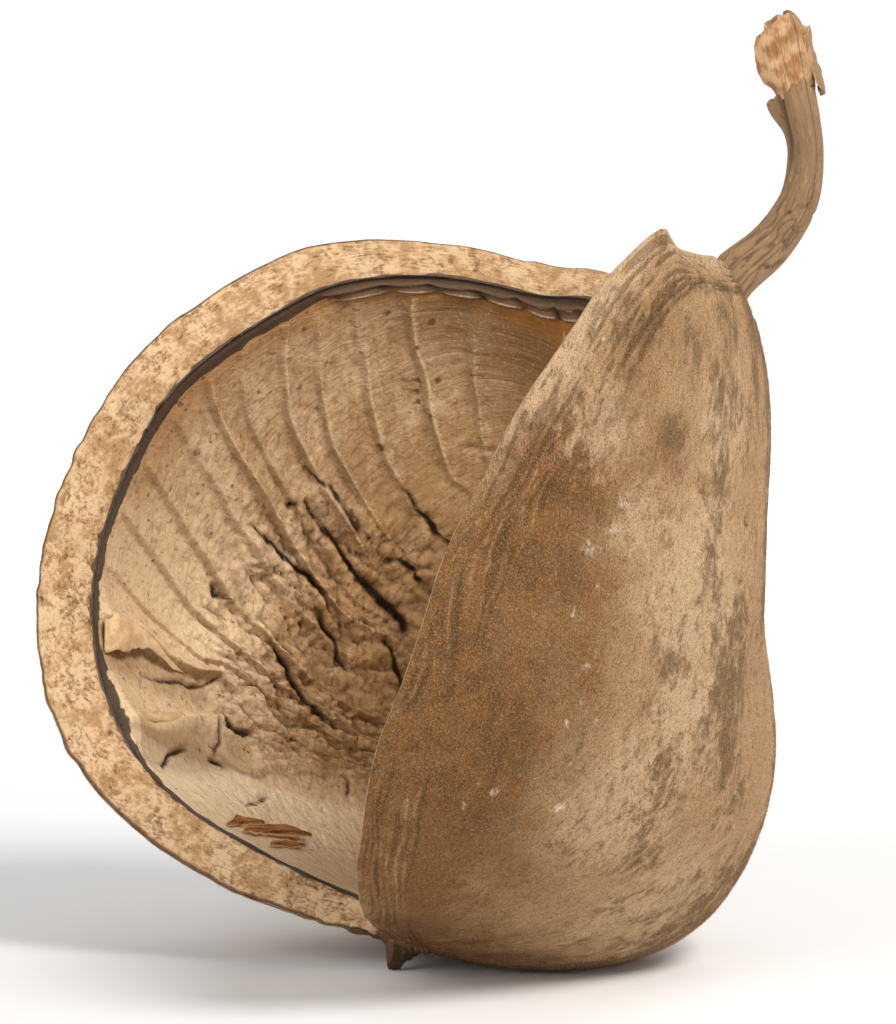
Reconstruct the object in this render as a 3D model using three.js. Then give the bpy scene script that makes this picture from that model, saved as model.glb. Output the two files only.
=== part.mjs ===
// Open woody seed pod of a buddha coconut tree, on its stalk. Millimetres, +Z up.
// The pod has split along the seam that faces the front (-Y) and gapes there like a
// heart-shaped bowl. Its two valves stay joined down the back, and in front the seam ends
// below in a small beak. The stalk rises from the notch between the two shoulders.
// X is across the two valves, and the origin is on the floor under the middle of the box.

import * as THREE from "three";

const DEG = Math.PI / 180;

// Sizes of the pod
const MOUTH_LEAN = 20; // degrees that the mouth looks up from level
const MIDDLE = [1.89, -19.33, 59.3]; // centre of the hollow, from which the skin is measured
const HALF_WIDTH = 61.5;
const TOP_REACH = 93;
const BOTTOM_REACH = 58.5;
const FRONT_REACH = 74;
const BACK_REACH = 70.5;
const SQUARENESS = 2.2; // 2 gives an ellipsoid, more gives fuller corners
const SEAM_GROOVE = 6.8; // depth of the valley down the back, between the valves
const SEAM_GROOVE_WIDTH = 0.2; // as a share of the distance from the middle
const BEAK_LENGTH = 6.9;
const BEAK_WIDTH = 5.2 * DEG;
const BEAK_PLACE = 78 * DEG;

// Broad swellings and hollows: height, direction as across, along and out of the mouth, width
const SWELLINGS = [
  { height: -14.8, towards: [0, 0.6, -0.8], width: 42 }, // slack behind the shoulders
  { height: 8.3, towards: [0, -0.5, -0.85], width: 40 }, // full lower back
  { height: 5.4, towards: [0.5, 0.8, 0.3], width: 30 }, // shoulder of the right valve
  { height: 0.4, towards: [-0.5, 0.8, 0.3], width: 30 }, // shoulder of the left valve
  { height: -9.0, towards: [0.75, 0.3, -0.6], width: 46 }, // flank of the right valve
  { height: -3.6, towards: [-0.75, 0.3, -0.6], width: 46 }, // flank of the left valve
  { height: -4.9, towards: [0.5, -0.85, -0.1], width: 34 }, // belly of the right valve
  { height: -3.9, towards: [-0.5, -0.85, -0.1], width: 34 }, // belly of the left valve
  { height: 2.6, towards: [0.95, 0, 0.3], width: 38 }, // cheek of the right valve
  { height: 5.6, towards: [-0.95, -0.1, 0.3], width: 38 }, // cheek of the left valve
];

// How far round from the deepest point of the back each lip lies, in degrees,
// at turns from the beak (0) up one side to the stalk (180)
const LIP_TURNS = [0, 7, 14, 22, 40, 65, 90, 115, 140, 160, 180];
const RIGHT_LIP = [79, 84, 93, 102, 116, 125.5, 127, 121, 103, 75, 66];
const LEFT_LIP = [79, 84, 93, 102, 118, 126.5, 131, 127, 105, 73, 66];

// Wall, lip and lining
const WALL = 8.3; // at the lip
const WALL_SPREAD = 0.8; // the lip is thinner above its middle and thicker below by this
const WALL_BACK = 6.3; // at the back of the hollow
const LIP_SETBACK = 4.2 * DEG; // the inner edge lies this much further back than the outer
const LIP_BULGE = 0.8; // the cut face of the lip is a little rounded
const LEDGE_DEPTH = 0.8; // the dark line between lip and lining lies this deep
const WRINKLE_SPACING = 3.4;
const WRINKLE_HEIGHT = 0.2;
const FLOOR = 0; // the two lobes are pressed flat where they would pass the floor

// Papery ridges of the lining, in degrees from the stalk along each lip, and their height
const RIDGE_TURNS = [10, 16, 22, 28, 32.5, 36.5, 42, 45.5, 49.5, 56, 63.5, 71.5, 81.5, 93, 105.5, 122];
const RIDGE_HEIGHT = 1.1;
const RIDGE_FOOT = 0.2; // part of the way to the next ridge at which the steep side ends
const TORN_RIDGES = [14, 15]; // on the left valve these two stand up as torn flaps
const TORN_HEIGHT = 2.4;
const RIDGE_BEND = 34 * DEG; // on their way in the ridges bend this much toward the beak
const PADS = 6; // seed scars under the lip of each valve, between the ridges by the stalk
const PAD_HEIGHT = 1.1;

// Cracks of the lining on the left valve, each from part and turn to part and turn, and depth
const CRACKS = [
  { from: [0.66, 253], to: [0.46, 267], depth: 2.2 },
  { from: [0.72, 257], to: [0.58, 267], depth: 1.4 },
];
const CRACK_WIDTH = 2.2;

// Sizes of the stalk: its line from the seat up, and its radius along that line
const SEAT_BACK = 59 * DEG; // where it sits, between the shoulders
const SEAT_RADIUS = 5.8;
const SEAT_GAP = 0.35;
const STALK_LINE = [
  [0, 53, 104.5],
  [0, 59.5, 110.2],
  [0, 66, 117],
  [0, 75, 123],
  [0, 81.8, 131.2],
  [0, 83.2, 140.2],
  [0, 80.6, 150.1],
  [0, 78.6, 156.6],
  [0, 77.6, 161.5],
];
const STALK_STATIONS = [0, 0.1, 0.25, 0.45, 0.68, 0.78, 1];
const STALK_RADII = [5.7, 4.8, 4.2, 3.6, 3.2, 3.5, 4.3];
const BARK_END = 0.85;
const WOOD_RADII = [3.4, 4.5, 4.7, 4.2, 3.1]; // torn wood above the bark, spreading, then closing
const BARK_RIDGES = 9;

// Plain helpers
const clamp = THREE.MathUtils.clamp;
const lerp = THREE.MathUtils.lerp;
const smooth = THREE.MathUtils.smoothstep;

function bell(x, width) {
  return Math.exp(-((x / width) ** 2));
}

// A curve through stations that never overshoots them
function stationCurve(xs, ys, x) {
  const n = xs.length;
  const slope = (i) => (ys[i + 1] - ys[i]) / (xs[i + 1] - xs[i]);
  const tangent = (i) => {
    if (i === 0 || i === n - 1) return 0;
    const before = slope(i - 1);
    const after = slope(i);
    if (before * after <= 0) return 0;
    return (2 * before * after) / (before + after);
  };
  let k = 0;
  while (k < n - 2 && x > xs[k + 1]) k += 1;
  const h = xs[k + 1] - xs[k];
  const t = (x - xs[k]) / h;
  const t2 = t * t;
  const t3 = t2 * t;
  return (
    ys[k] * (2 * t3 - 3 * t2 + 1) +
    ys[k + 1] * (3 * t2 - 2 * t3) +
    h * tangent(k) * (t3 - 2 * t2 + t) +
    h * tangent(k + 1) * (t3 - t2)
  );
}

// Directions from the middle: across the valves, along from beak to stalk, out of the mouth
const ACROSS = new THREE.Vector3(1, 0, 0);
const ALONG = new THREE.Vector3(0, Math.sin(MOUTH_LEAN * DEG), Math.cos(MOUTH_LEAN * DEG));
const OUT = new THREE.Vector3(0, -Math.cos(MOUTH_LEAN * DEG), Math.sin(MOUTH_LEAN * DEG));

// back is the angle from the deepest point of the back, turn goes from the beak round by the
// right valve to the stalk and back by the left valve
function direction(back, turn) {
  return [
    Math.sin(back) * Math.sin(turn),
    -Math.sin(back) * Math.cos(turn),
    -Math.cos(back),
  ];
}

function angleTo(u, towards) {
  const length = Math.hypot(...towards);
  const dot = (u[0] * towards[0] + u[1] * towards[1] + u[2] * towards[2]) / length;
  return Math.acos(clamp(dot, -1, 1));
}

function bodyRadius(u) {
  const [s, a, m] = u;
  const n = SQUARENESS;
  let r =
    ((Math.abs(s) / HALF_WIDTH) ** n +
      (Math.abs(a) / (a > 0 ? TOP_REACH : BOTTOM_REACH)) ** n +
      (Math.abs(m) / (m > 0 ? FRONT_REACH : BACK_REACH)) ** n) **
    (-1 / n);
  r -= SEAM_GROOVE * bell(s, SEAM_GROOVE_WIDTH) * clamp(0.25 - m, 0, 1);
  for (const bump of SWELLINGS) {
    r += bump.height * bell(angleTo(u, bump.towards), bump.width * DEG);
  }
  return r;
}

function lipAngle(turn) {
  const degrees = (((turn / DEG) % 360) + 360) % 360;
  return degrees <= 180
    ? stationCurve(LIP_TURNS, RIGHT_LIP, degrees) * DEG
    : stationCurve(LIP_TURNS, LEFT_LIP, 360 - degrees) * DEG;
}

function place(u, r) {
  const point = new THREE.Vector3(...MIDDLE);
  point.addScaledVector(ACROSS, u[0] * r);
  point.addScaledVector(ALONG, u[1] * r);
  point.addScaledVector(OUT, u[2] * r);
  return point;
}

// Skin of the pod at a part of the way from the back (0) to the lip (1)
function skinRadius(part, turn) {
  const lip = lipAngle(turn);
  const u = direction(part * lip, turn);
  const fromBeak = angleTo(u, direction(BEAK_PLACE, 0));
  let r = bodyRadius(u) + BEAK_LENGTH * Math.exp(-((fromBeak / BEAK_WIDTH) ** 1.6));
  // wrinkles that follow the lip
  const toLip = (1 - part) * lip * r;
  const wave = Math.cos((2 * Math.PI * toLip) / WRINKLE_SPACING + 1.6 * Math.sin(3 * turn));
  const strength = 0.65 + 0.35 * Math.sin(5 * turn + 0.4 * toLip);
  r += WRINKLE_HEIGHT * strength * wave * smooth(toLip, 0.4, 2) * (1 - smooth(toLip, 7, 14));
  // slow unevenness of the grown skin
  r += 0.45 * Math.sin(9 * u[0] + 2 * u[1]) * Math.sin(8 * u[1] + 3 * u[2] + 1);
  return r;
}

function outerPoint(part, turn) {
  const point = place(direction(part * lipAngle(turn), turn), skinRadius(part, turn));
  point.z = Math.max(point.z, FLOOR);
  return point;
}

// Degrees from the stalk along a lip, positive on either valve
function fromStalk(turn) {
  return Math.abs(180 - turn / DEG);
}

// The right valve's ridges lie a little aside of the left valve's
function ridgeTurn(k, left) {
  return RIDGE_TURNS[k] + (left ? 0 : 1.2 * Math.sin(2 * k));
}

// Which ridge a turn comes after, and how far it is from that ridge to the next
function ridgeInterval(degrees, left) {
  for (let k = RIDGE_TURNS.length - 1; k >= 0; k -= 1) {
    const here = ridgeTurn(k, left);
    if (degrees >= here - 1e-6) {
      const next = k + 1 < RIDGE_TURNS.length ? ridgeTurn(k + 1, left) : here + 18;
      return { k, f: clamp((degrees - here) / (next - here), 0, 1) };
    }
  }
  return { k: -1, f: clamp(degrees / ridgeTurn(0, left), 0, 1) };
}

// A sheet that rises slowly to its free edge and ends there in a step
function sheet(f, height, nextHeight) {
  if (f < RIDGE_FOOT) return height * (1 - f / RIDGE_FOOT);
  return nextHeight * ((f - RIDGE_FOOT) / (1 - RIDGE_FOOT)) ** 2;
}

// The turn at which a line of the lining that meets the lip at a turn has got to
function bentTurn(part, turn) {
  const degrees = fromStalk(turn);
  const share = smooth(degrees, 0, 28) * (1 - smooth(degrees, 75, 130));
  const bend = RIDGE_BEND * share * (1 - Math.exp(-2 * (1 - part)));
  return turn > Math.PI ? turn + bend : turn - bend;
}

function ridgeHeight(k, left, part) {
  if (k < 0 || k >= RIDGE_TURNS.length) return 0;
  if (left && TORN_RIDGES.includes(k)) {
    const ragged = 1 + 0.35 * Math.sin(48 * part + 2 * k);
    return TORN_HEIGHT * ragged * smooth(part, 0.66, 0.8) * (1 - smooth(part, 0.95, 0.99));
  }
  const reach = smooth(part, 0.38, 0.62) * (1 - smooth(part, 0.94, 0.99));
  return RIDGE_HEIGHT * (1 + 0.25 * Math.sin(3.7 * k)) * reach;
}

// Distance in millimetres on the lining from a point to a crack, roughly
function crackDistance(crack, part, turn) {
  const across = 48; // millimetres of lining to a radian of turn
  const along = 115; // millimetres of lining from the back to the lip
  const x = turn * across;
  const y = part * along;
  const x0 = crack.from[1] * DEG * across;
  const y0 = crack.from[0] * along;
  const dx = crack.to[1] * DEG * across - x0;
  const dy = crack.to[0] * along - y0;
  const t = clamp(((x - x0) * dx + (y - y0) * dy) / (dx * dx + dy * dy), 0, 1);
  return Math.hypot(x - x0 - t * dx, y - y0 - t * dy);
}

// Relief of the lining, raised into the hollow. lipTurn is where its ridges meet the lip
function liningRelief(part, lipTurn, turn, u) {
  const left = lipTurn > Math.PI;
  const { k, f } = ridgeInterval(fromStalk(lipTurn), left);
  let h = sheet(f, ridgeHeight(k, left, part), ridgeHeight(k + 1, left, part));
  // seed scars, each a pad between two ridges
  if (k >= 0 && k < PADS) {
    const along = smooth(part, 0.95, 0.968) * (1 - smooth(part, 0.978, 0.99));
    h += PAD_HEIGHT * Math.sin(Math.PI * f) ** 0.5 * along;
  }
  // the dark ledge under the lip
  h -= LEDGE_DEPTH * smooth(part, 0.982, 0.99) * (1 - smooth(part, 0.993, 1));
  // crumpled fibres deeper down
  const crumple = 1 - smooth(part, 0.5, 0.78);
  h += 0.8 * crumple * Math.sin(13 * u[0] + 5 * u[1]) * Math.sin(11 * u[1] - 6 * u[0] + 2);
  h += 0.5 * crumple * Math.sin(21 * u[1] + 9 * u[0] + 4 * Math.sin(6 * u[0]));
  for (const crack of CRACKS) {
    h -= crack.depth * bell(crackDistance(crack, part, turn), CRACK_WIDTH);
  }
  return h;
}

// Lining of the hollow at a part of the way from the back (0) to the lip (1)
function innerPoint(part, lipTurn) {
  const turn = bentTurn(part, lipTurn);
  const back = part * (lipAngle(turn) - LIP_SETBACK * Math.abs(Math.sin(turn)));
  const u = direction(back, turn);
  const degrees = fromStalk(turn);
  const nearBeak = 1 - 0.45 * bell(180 - degrees, 12) * part ** 6;
  const uneven = clamp((degrees - 90) / 35, -2, 2) * 90 * DEG;
  const lipWall = WALL + WALL_SPREAD * Math.sin(uneven);
  const wall = lerp(WALL_BACK, lipWall, part ** 2) * nearBeak;
  return place(u, bodyRadius(u) - wall - liningRelief(part, lipTurn, turn, u));
}

// Cut face of the lip, from its outer edge (0) to its inner edge (1)
function lipPoint(t, turn) {
  const point = outerPoint(1, turn).lerp(innerPoint(1, turn), t);
  const lip = lipAngle(turn);
  const forward = place(direction(lip + 0.01, turn), 100).sub(place(direction(lip, turn), 100));
  forward.normalize();
  const uneven = 1 + 0.5 * Math.sin(31 * turn) * Math.sin(17 * turn + 2);
  return point.addScaledVector(forward, LIP_BULGE * uneven * 4 * t * (1 - t));
}

// A closed skin over rings of points, each ring joined to the next, with a point at each end
function closedSkin(first, rings, last) {
  const points = [first, ...rings.flat(), last];
  const count = rings[0].length;
  const at = (i, j) => 1 + i * count + (j % count);
  const index = [];
  for (let j = 0; j < count; j += 1) {
    index.push(0, at(0, j + 1), at(0, j));
    for (let i = 0; i < rings.length - 1; i += 1) {
      index.push(at(i, j), at(i, j + 1), at(i + 1, j + 1));
      index.push(at(i, j), at(i + 1, j + 1), at(i + 1, j));
    }
    index.push(points.length - 1, at(rings.length - 1, j), at(rings.length - 1, j + 1));
  }
  const geometry = new THREE.BufferGeometry().setFromPoints(points);
  geometry.setIndex(index);
  geometry.computeVertexNormals();
  return geometry;
}

// The pod: columns run from the back to the lip and into the hollow, three to each ridge
function podTurns() {
  const turns = [0, 180];
  for (const left of [false, true]) {
    const sign = left ? 1 : -1;
    const last = RIDGE_TURNS.length - 1;
    for (let k = 0; k <= last; k += 1) {
      const here = ridgeTurn(k, left);
      const gap = k < last ? ridgeTurn(k + 1, left) - here : 18;
      for (const f of [0, RIDGE_FOOT, 0.6]) turns.push(180 + sign * (here + f * gap));
    }
    for (const d of [3.5, 7, 140, 147, 153.5, 159.5, 164.5, 168.5, 171.5, 174, 176, 178]) {
      turns.push(180 + sign * d);
    }
  }
  return turns.sort((a, b) => a - b).map((degrees) => degrees * DEG);
}

const OUTER_PARTS = [
  0.08, 0.16, 0.24, 0.32, 0.4, 0.48, 0.55, 0.62, 0.68, 0.74, 0.79, 0.835,
  0.87, 0.895, 0.915, 0.931, 0.945, 0.958, 0.97, 0.981, 0.991, 1,
];
const LIP_PARTS = [0.1, 0.5, 0.9, 1];
const INNER_PARTS = [
  0.991, 0.976, 0.968, 0.95, 0.92, 0.885, 0.85, 0.81, 0.77, 0.73,
  0.69, 0.645, 0.6, 0.55, 0.5, 0.44, 0.38, 0.31, 0.24, 0.16, 0.08,
];

function podGeometry() {
  const turns = podTurns();
  const rings = [];
  for (const part of OUTER_PARTS) rings.push(turns.map((turn) => outerPoint(part, turn)));
  for (const t of LIP_PARTS) rings.push(turns.map((turn) => lipPoint(t, turn)));
  for (const part of INNER_PARTS) rings.push(turns.map((turn) => innerPoint(part, turn)));
  return closedSkin(outerPoint(0, 0), rings, innerPoint(0, 0));
}

// The stalk sits on the skin: its foot follows the skin at a small gap
function seatPoint(spread, angle) {
  const u = new THREE.Vector3(...direction(SEAT_BACK, Math.PI)).multiplyScalar(60);
  const up = new THREE.Vector3(...direction(SEAT_BACK + Math.PI / 2, Math.PI));
  u.x += spread * SEAT_RADIUS * Math.cos(angle);
  u.addScaledVector(up, spread * SEAT_RADIUS * Math.sin(angle));
  u.normalize();
  const turn = (Math.atan2(u.x, -u.y) + 2 * Math.PI) % (2 * Math.PI);
  const part = Math.acos(-u.z) / lipAngle(turn);
  return place(u.toArray(), skinRadius(part, turn) + SEAT_GAP);
}

function stalkGeometry() {
  const seat = seatPoint(0, 0);
  const line = STALK_LINE.map((p) => new THREE.Vector3(p[0] + MIDDLE[0], p[1] + MIDDLE[1], p[2]));
  line[0] = seat.clone();
  const curve = new THREE.CatmullRomCurve3(line, false, "centripetal");
  const count = 24;
  const angles = [];
  for (let j = 0; j < count; j += 1) angles.push((-2 * Math.PI * j) / count);

  // a point of the stalk: across is +X, up is square to it and to the line
  const tubePoint = (s, angle, radius) => {
    const centre = curve.getPointAt(clamp(s, 0, 1));
    const tangent = curve.getTangentAt(clamp(s, 0, 1));
    const up = new THREE.Vector3().crossVectors(ACROSS, tangent);
    centre.addScaledVector(tangent, Math.max(0, s - 1) * 60);
    centre.addScaledVector(ACROSS, radius * Math.cos(angle));
    return centre.addScaledVector(up, radius * Math.sin(angle));
  };
  const barkRadius = (s, angle) => {
    const r = stationCurve(STALK_STATIONS, STALK_RADII, s);
    const ridge = Math.cos(BARK_RIDGES * angle + 5 * s) + 0.6 * Math.cos(5 * angle - 7 * s + 1);
    const knot = 0.9 * bell(angleGap(angle, 4.2), 0.6) * bell(s - 0.57, 0.035);
    return r + 0.16 * ridge * smooth(s, 0.02, 0.2) + knot;
  };
  const rings = [];
  for (const spread of [0.35, 0.7, 1]) rings.push(angles.map((a) => seatPoint(spread, a)));
  const steps = 26;
  for (let i = 1; i <= steps; i += 1) {
    const s = (BARK_END * i) / steps;
    rings.push(
      angles.map((a) => {
        // the bark ends in a slanting edge
        const slanted = s + 0.022 * Math.cos(a - 0.6) * smooth(s, 0.6, BARK_END);
        return tubePoint(slanted, a, barkRadius(s, a));
      }),
    );
  }
  // torn wood above the bark, longer on one side, with splinters along its edge
  WOOD_RADII.forEach((radius, i) => {
    const t = i / (WOOD_RADII.length - 1);
    const s = lerp(BARK_END, 1, t);
    rings.push(
      angles.map((a) => {
        const slanted = s + 0.022 * Math.cos(a - 0.6) * (1 - t);
        const splinter = t * t * (0.012 * Math.sin(5 * a + 1) + 0.025 * Math.cos(a + 2));
        const wide = radius * (1 + 0.08 * Math.cos(6 * a + 0.8 * i));
        return tubePoint(slanted + splinter, a, wide);
      }),
    );
  });
  const hollow = tubePoint(0.985, 0, 0);
  return closedSkin(seat, rings, hollow);
}

function angleGap(a, b) {
  return Math.atan2(Math.sin(a - b), Math.cos(a - b));
}

const pod = new THREE.Mesh(
  podGeometry(),
  new THREE.MeshStandardMaterial({ name: "husk", color: 0xa98663, roughness: 0.9, metalness: 0 }),
);
pod.name = "pod";

const stalk = new THREE.Mesh(
  stalkGeometry(),
  new THREE.MeshStandardMaterial({ name: "bark", color: 0x8f7558, roughness: 0.85, metalness: 0 }),
);
stalk.name = "stalk";

const group = new THREE.Group();
group.name = "buddha_nut_pod";
group.add(pod, stalk);

export default group;
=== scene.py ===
# Open woody seed pod of a buddha coconut tree on its stalk, dressed for close viewing.
# The pod's skin, lip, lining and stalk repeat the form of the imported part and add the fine
# relief: wrinkles, papery ridges, cracks, torn flaps, seed scars, bark, splinters and fuzz.
# Forms are worked out in millimetres and built in metres.

import math

import bpy
import numpy as np
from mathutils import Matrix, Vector


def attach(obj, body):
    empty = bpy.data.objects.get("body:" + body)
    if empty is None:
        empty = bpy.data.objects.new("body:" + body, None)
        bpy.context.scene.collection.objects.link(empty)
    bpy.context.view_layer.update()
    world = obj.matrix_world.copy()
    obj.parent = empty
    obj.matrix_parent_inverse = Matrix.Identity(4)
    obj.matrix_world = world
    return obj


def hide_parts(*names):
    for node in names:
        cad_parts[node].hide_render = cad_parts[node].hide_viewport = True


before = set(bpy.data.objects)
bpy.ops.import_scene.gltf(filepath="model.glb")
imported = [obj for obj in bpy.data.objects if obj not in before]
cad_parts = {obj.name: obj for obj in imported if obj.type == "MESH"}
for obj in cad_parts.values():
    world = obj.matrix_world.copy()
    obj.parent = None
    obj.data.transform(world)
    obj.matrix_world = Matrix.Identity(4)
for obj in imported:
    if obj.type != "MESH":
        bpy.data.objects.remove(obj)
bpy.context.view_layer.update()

bl_info = {
    "name": "Open Seed Pod",
    "version": (1, 0, 0),
    "blender": (4, 5, 0),
    "location": "View3D > Sidebar > Seed Pod",
    "description": "Builds an open woody seed pod with its lining, fuzz and stalk",
    "category": "Add Mesh",
}

MM = 0.001
DEG = math.pi / 180

# The form of the pod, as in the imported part
MOUTH_LEAN = 20 * DEG
MIDDLE = np.array([1.89, -19.33, 59.3])
HALF_WIDTH = 61.5
TOP_REACH = 93
BOTTOM_REACH = 58.5
FRONT_REACH = 74
BACK_REACH = 70.5
SQUARENESS = 2.2
SEAM_GROOVE = 6.8
SEAM_GROOVE_WIDTH = 0.2
BEAK_LENGTH = 6.9
BEAK_WIDTH = 5.2 * DEG
BEAK_PLACE = 78 * DEG
# height, direction as across, along and out of the mouth, width
SWELLINGS = [
    (-14.8, (0, 0.6, -0.8), 42),
    (8.3, (0, -0.5, -0.85), 40),
    (5.4, (0.5, 0.8, 0.3), 30),
    (0.4, (-0.5, 0.8, 0.3), 30),
    (-9.0, (0.75, 0.3, -0.6), 46),
    (-3.6, (-0.75, 0.3, -0.6), 46),
    (-4.9, (0.5, -0.85, -0.1), 34),
    (-3.9, (-0.5, -0.85, -0.1), 34),
    (2.6, (0.95, 0, 0.3), 38),
    (5.6, (-0.95, -0.1, 0.3), 38),
]
LIP_TURNS = [0, 7, 14, 22, 40, 65, 90, 115, 140, 160, 180]
RIGHT_LIP = [79, 84, 93, 102, 116, 125.5, 127, 121, 103, 75, 66]
LEFT_LIP = [79, 84, 93, 102, 118, 126.5, 131, 127, 105, 73, 66]
WALL = 8.3
WALL_SPREAD = 0.8
WALL_BACK = 6.3
LIP_SETBACK = 4.2 * DEG
FLOOR = 0.0

# Ridges of the lining, in degrees from the stalk along each lip
RIDGE_TURNS = [5, 12, 19.5, 26.2, 31.2, 35, 38.2, 42, 47.6, 52.9, 60.6, 70.6, 81.5, 93, 105.5, 122]
RIDGE_BEND = ([0, 20, 31, 38, 48, 56, 70, 80, 92, 105, 125], [20, 48, 55, 72, 82, 76, 78, 68, 50, 25, 0])
RIDGE_FOOT = 0.16
# Seed scars under the lip, in degrees from the stalk: their ends
SCAR_TURNS = [5, 9, 13, 17, 20.7, 24.6, 27.8, 31.1, 34.4, 39]
# The two torn ridges of the left valve: part of the way to the lip, and turn from the stalk
TORN_PARTS = [0.0, 0.4, 0.5, 0.6, 0.68, 0.75, 0.79, 0.85, 0.9, 1.0]
TORN_TURNS = {
    14: [122, 119, 117, 113.5, 109, 106.4, 106.9, 105.5, 103.1, 104],
    15: [140, 128, 124, 120, 116.5, 114.9, 115.6, 119, 121.9, 125.6],
}

# Peak of the right valve's lip and the shoulder behind it, by part and turn
CREST = [(1.0, 143.4), (1.0, 148), (0.97, 150), (1.0, 155), (0.98, 159)]

# Cracks and creases of the left valve's lining: places as part and turn, half width, depth
CRACKS = [
    ([(0.692, 250.6), (0.612, 255.8), (0.567, 259.2), (0.523, 261.9), (0.473, 264.6)], 0.62, 2.0),
    ([(0.55, 260), (0.51, 262.5), (0.473, 264.8), (0.46, 267.5)], 1.15, 2.3),
    ([(0.741, 258.2), (0.692, 261.1), (0.657, 262.4), (0.627, 263.3), (0.597, 264.8)], 0.56, 1.6),
    ([(0.717, 245.2), (0.672, 246.3), (0.637, 248), (0.612, 250.3), (0.572, 251.5)], 0.56, 1.3),
    ([(0.582, 239.7), (0.547, 241.7), (0.513, 243.1), (0.478, 245), (0.463, 244.8)], 0.56, 1.2),
    ([(0.538, 253.5), (0.498, 253.5), (0.468, 255.7), (0.448, 257.2)], 0.56, 1.3),
    ([(0.935, 313), (0.895, 308), (0.851, 305.2)], 0.56, 1.0),
    ([(0.785, 315.5), (0.751, 314), (0.706, 310.1)], 0.56, 0.9),
    ([(0.537, 300.3), (0.547, 305.5)], 0.56, 0.8),
    ([(0.667, 276.9), (0.627, 281.6), (0.597, 286.8), (0.552, 290.2)], 0.7, 1.0),
    ([(0.896, 292.3), (0.836, 290.6), (0.786, 289.4), (0.741, 286.2)], 0.56, 0.9),
    ([(0.751, 294), (0.731, 296.2), (0.697, 295.6)], 0.9, 1.7),
    ([(0.796, 305.3), (0.776, 305.7)], 0.8, 1.4),
    ([(0.761, 294.9), (0.766, 299.2), (0.786, 304)], 0.56, 0.9),
    ([(0.707, 251.6), (0.712, 251.2)], 0.75, 1.4),
    ([(0.768, 270.6), (0.758, 272.0), (0.745, 271.8)], 0.7, 1.0),
    ([(0.781, 274.8), (0.736, 275.3)], 0.56, 0.7),
    ([(0.597, 227.8), (0.572, 223.8)], 0.56, 0.5),
    ([(0.6, 268), (0.56, 274), (0.53, 279)], 0.56, 1.0),
    ([(0.49, 270), (0.45, 277), (0.42, 286)], 0.6, 1.1),
]
# Small stains: places on the lining, size in millimetres
STAINS = [
    (0.721, 225.0, 0.8), (0.741, 223.4, 0.6), (0.731, 226.0, 0.5), (0.70, 226.2, 0.7), (0.75, 224.6, 0.5),
    (0.895, 217.4, 0.5), (0.865, 214.9, 0.6), (0.811, 218.7, 0.6), (0.776, 222.8, 0.5), (0.731, 221.0, 0.6),
    (0.831, 232.7, 0.5), (0.781, 235.0, 0.6), (0.910, 226.5, 0.6), (0.935, 224.1, 0.5), (0.696, 231.4, 0.6),
    (0.791, 254.1, 0.4), (0.806, 252.4, 0.4), (0.851, 254.3, 0.35), (0.87, 236.0, 0.4), (0.84, 243.5, 0.4),
    (0.66, 235.5, 0.7), (0.68, 229.5, 0.7), (0.80, 262.0, 0.35), (0.88, 270.0, 0.35), (0.62, 272.0, 0.5),
]

# Marks of the skin on the right valve, by part and turn: place, size in millimetres
WHITE_SPOTS = [
    (0.80, 85, 1.2), (0.88, 58, 1.0), (0.85, 62, 1.3), (0.84, 92, 0.8), (0.85, 102, 1.6),
    (0.83, 106, 1.5), (0.80, 76, 1.2), (0.96, 130, 0.9), (0.83, 110, 1.6), (0.75, 63, 1.8),
    (0.79, 80, 0.8), (0.82, 97, 0.9), (0.76, 78, 0.8), (0.77, 92, 0.7),
]
DARK_BLOTCHES = [
    (0.77, 132, 5), (0.72, 134, 4), (0.74, 126, 3), (0.84, 134, 5), (0.93, 132, 5), (0.42, 71, 5),
    (0.47, 78, 6), (0.55, 94, 5), (0.62, 74, 4), (0.70, 118, 3), (0.58, 60, 6), (0.5, 105, 5),
    (0.66, 90, 3.5), (0.80, 122, 3.5), (0.52, 122, 3),
]
PINK_MARKS = [
    [(0.80, 120), (0.78, 118), (0.76, 117.5)],
    [(0.745, 118.5), (0.725, 118), (0.715, 117)],
    [(0.785, 116), (0.775, 114.5)],
    [(0.712, 112), (0.708, 110.5)],
]

# The stalk: its line, the middle's own x and y added, and its radii
SEAT_BACK = 59 * DEG
SEAT_GAP = 0.35
STALK_LINE = [
    (0, 59.5, 110.2), (0, 66, 117), (0, 75, 123), (0, 81.8, 131.2), (0, 83.2, 140.2),
    (0, 80.6, 150.1), (0, 78.6, 156.6), (0, 77.6, 161.5),
]
STALK_STATIONS = [0, 0.1, 0.25, 0.45, 0.68, 0.78, 1]
STALK_RADII = [5.7, 4.8, 4.2, 3.6, 3.2, 3.5, 4.3]
BARK_END = 0.85
BARK_RIDGES = 9

# More marks of the skin, by part and turn: place, size in millimetres
PALE_PATCHES = [
    (0.65, 103, 17), (0.9, 119, 10), (0.8, 108, 9), (0.72, 128, 8), (0.6, 84, 12), (0.66, 66, 13),
    (0.5, 45, 14),
]
DARK_PATCHES = [(0.93, 97, 17), (0.94, 78, 17), (0.9, 60, 15)]
HOLES = [(0.57, 122, 0.9), (0.6, 241, 0.8)]
# The five places of CREST: how wide each swelling is and how far it rises, in millimetres
CREST_WIDTHS = (5.5, 6.5, 6, 5, 7)
CREST_RISES = (3.4, -1.9, -2.2, -1.2, -2.1)

# Line along which the lining steps down onto the floor of the bowl, by part and turn
FLOOR_FOLD = [(0.80, 299), (0.771, 300.7), (0.756, 303.6), (0.726, 304.5), (0.666, 301.5), (0.58, 299.5)]
PALE_SPECK = (0.683, 322.5)
DEEPEST_RELIEF = -2.2  # no crack goes through to the husk

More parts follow.
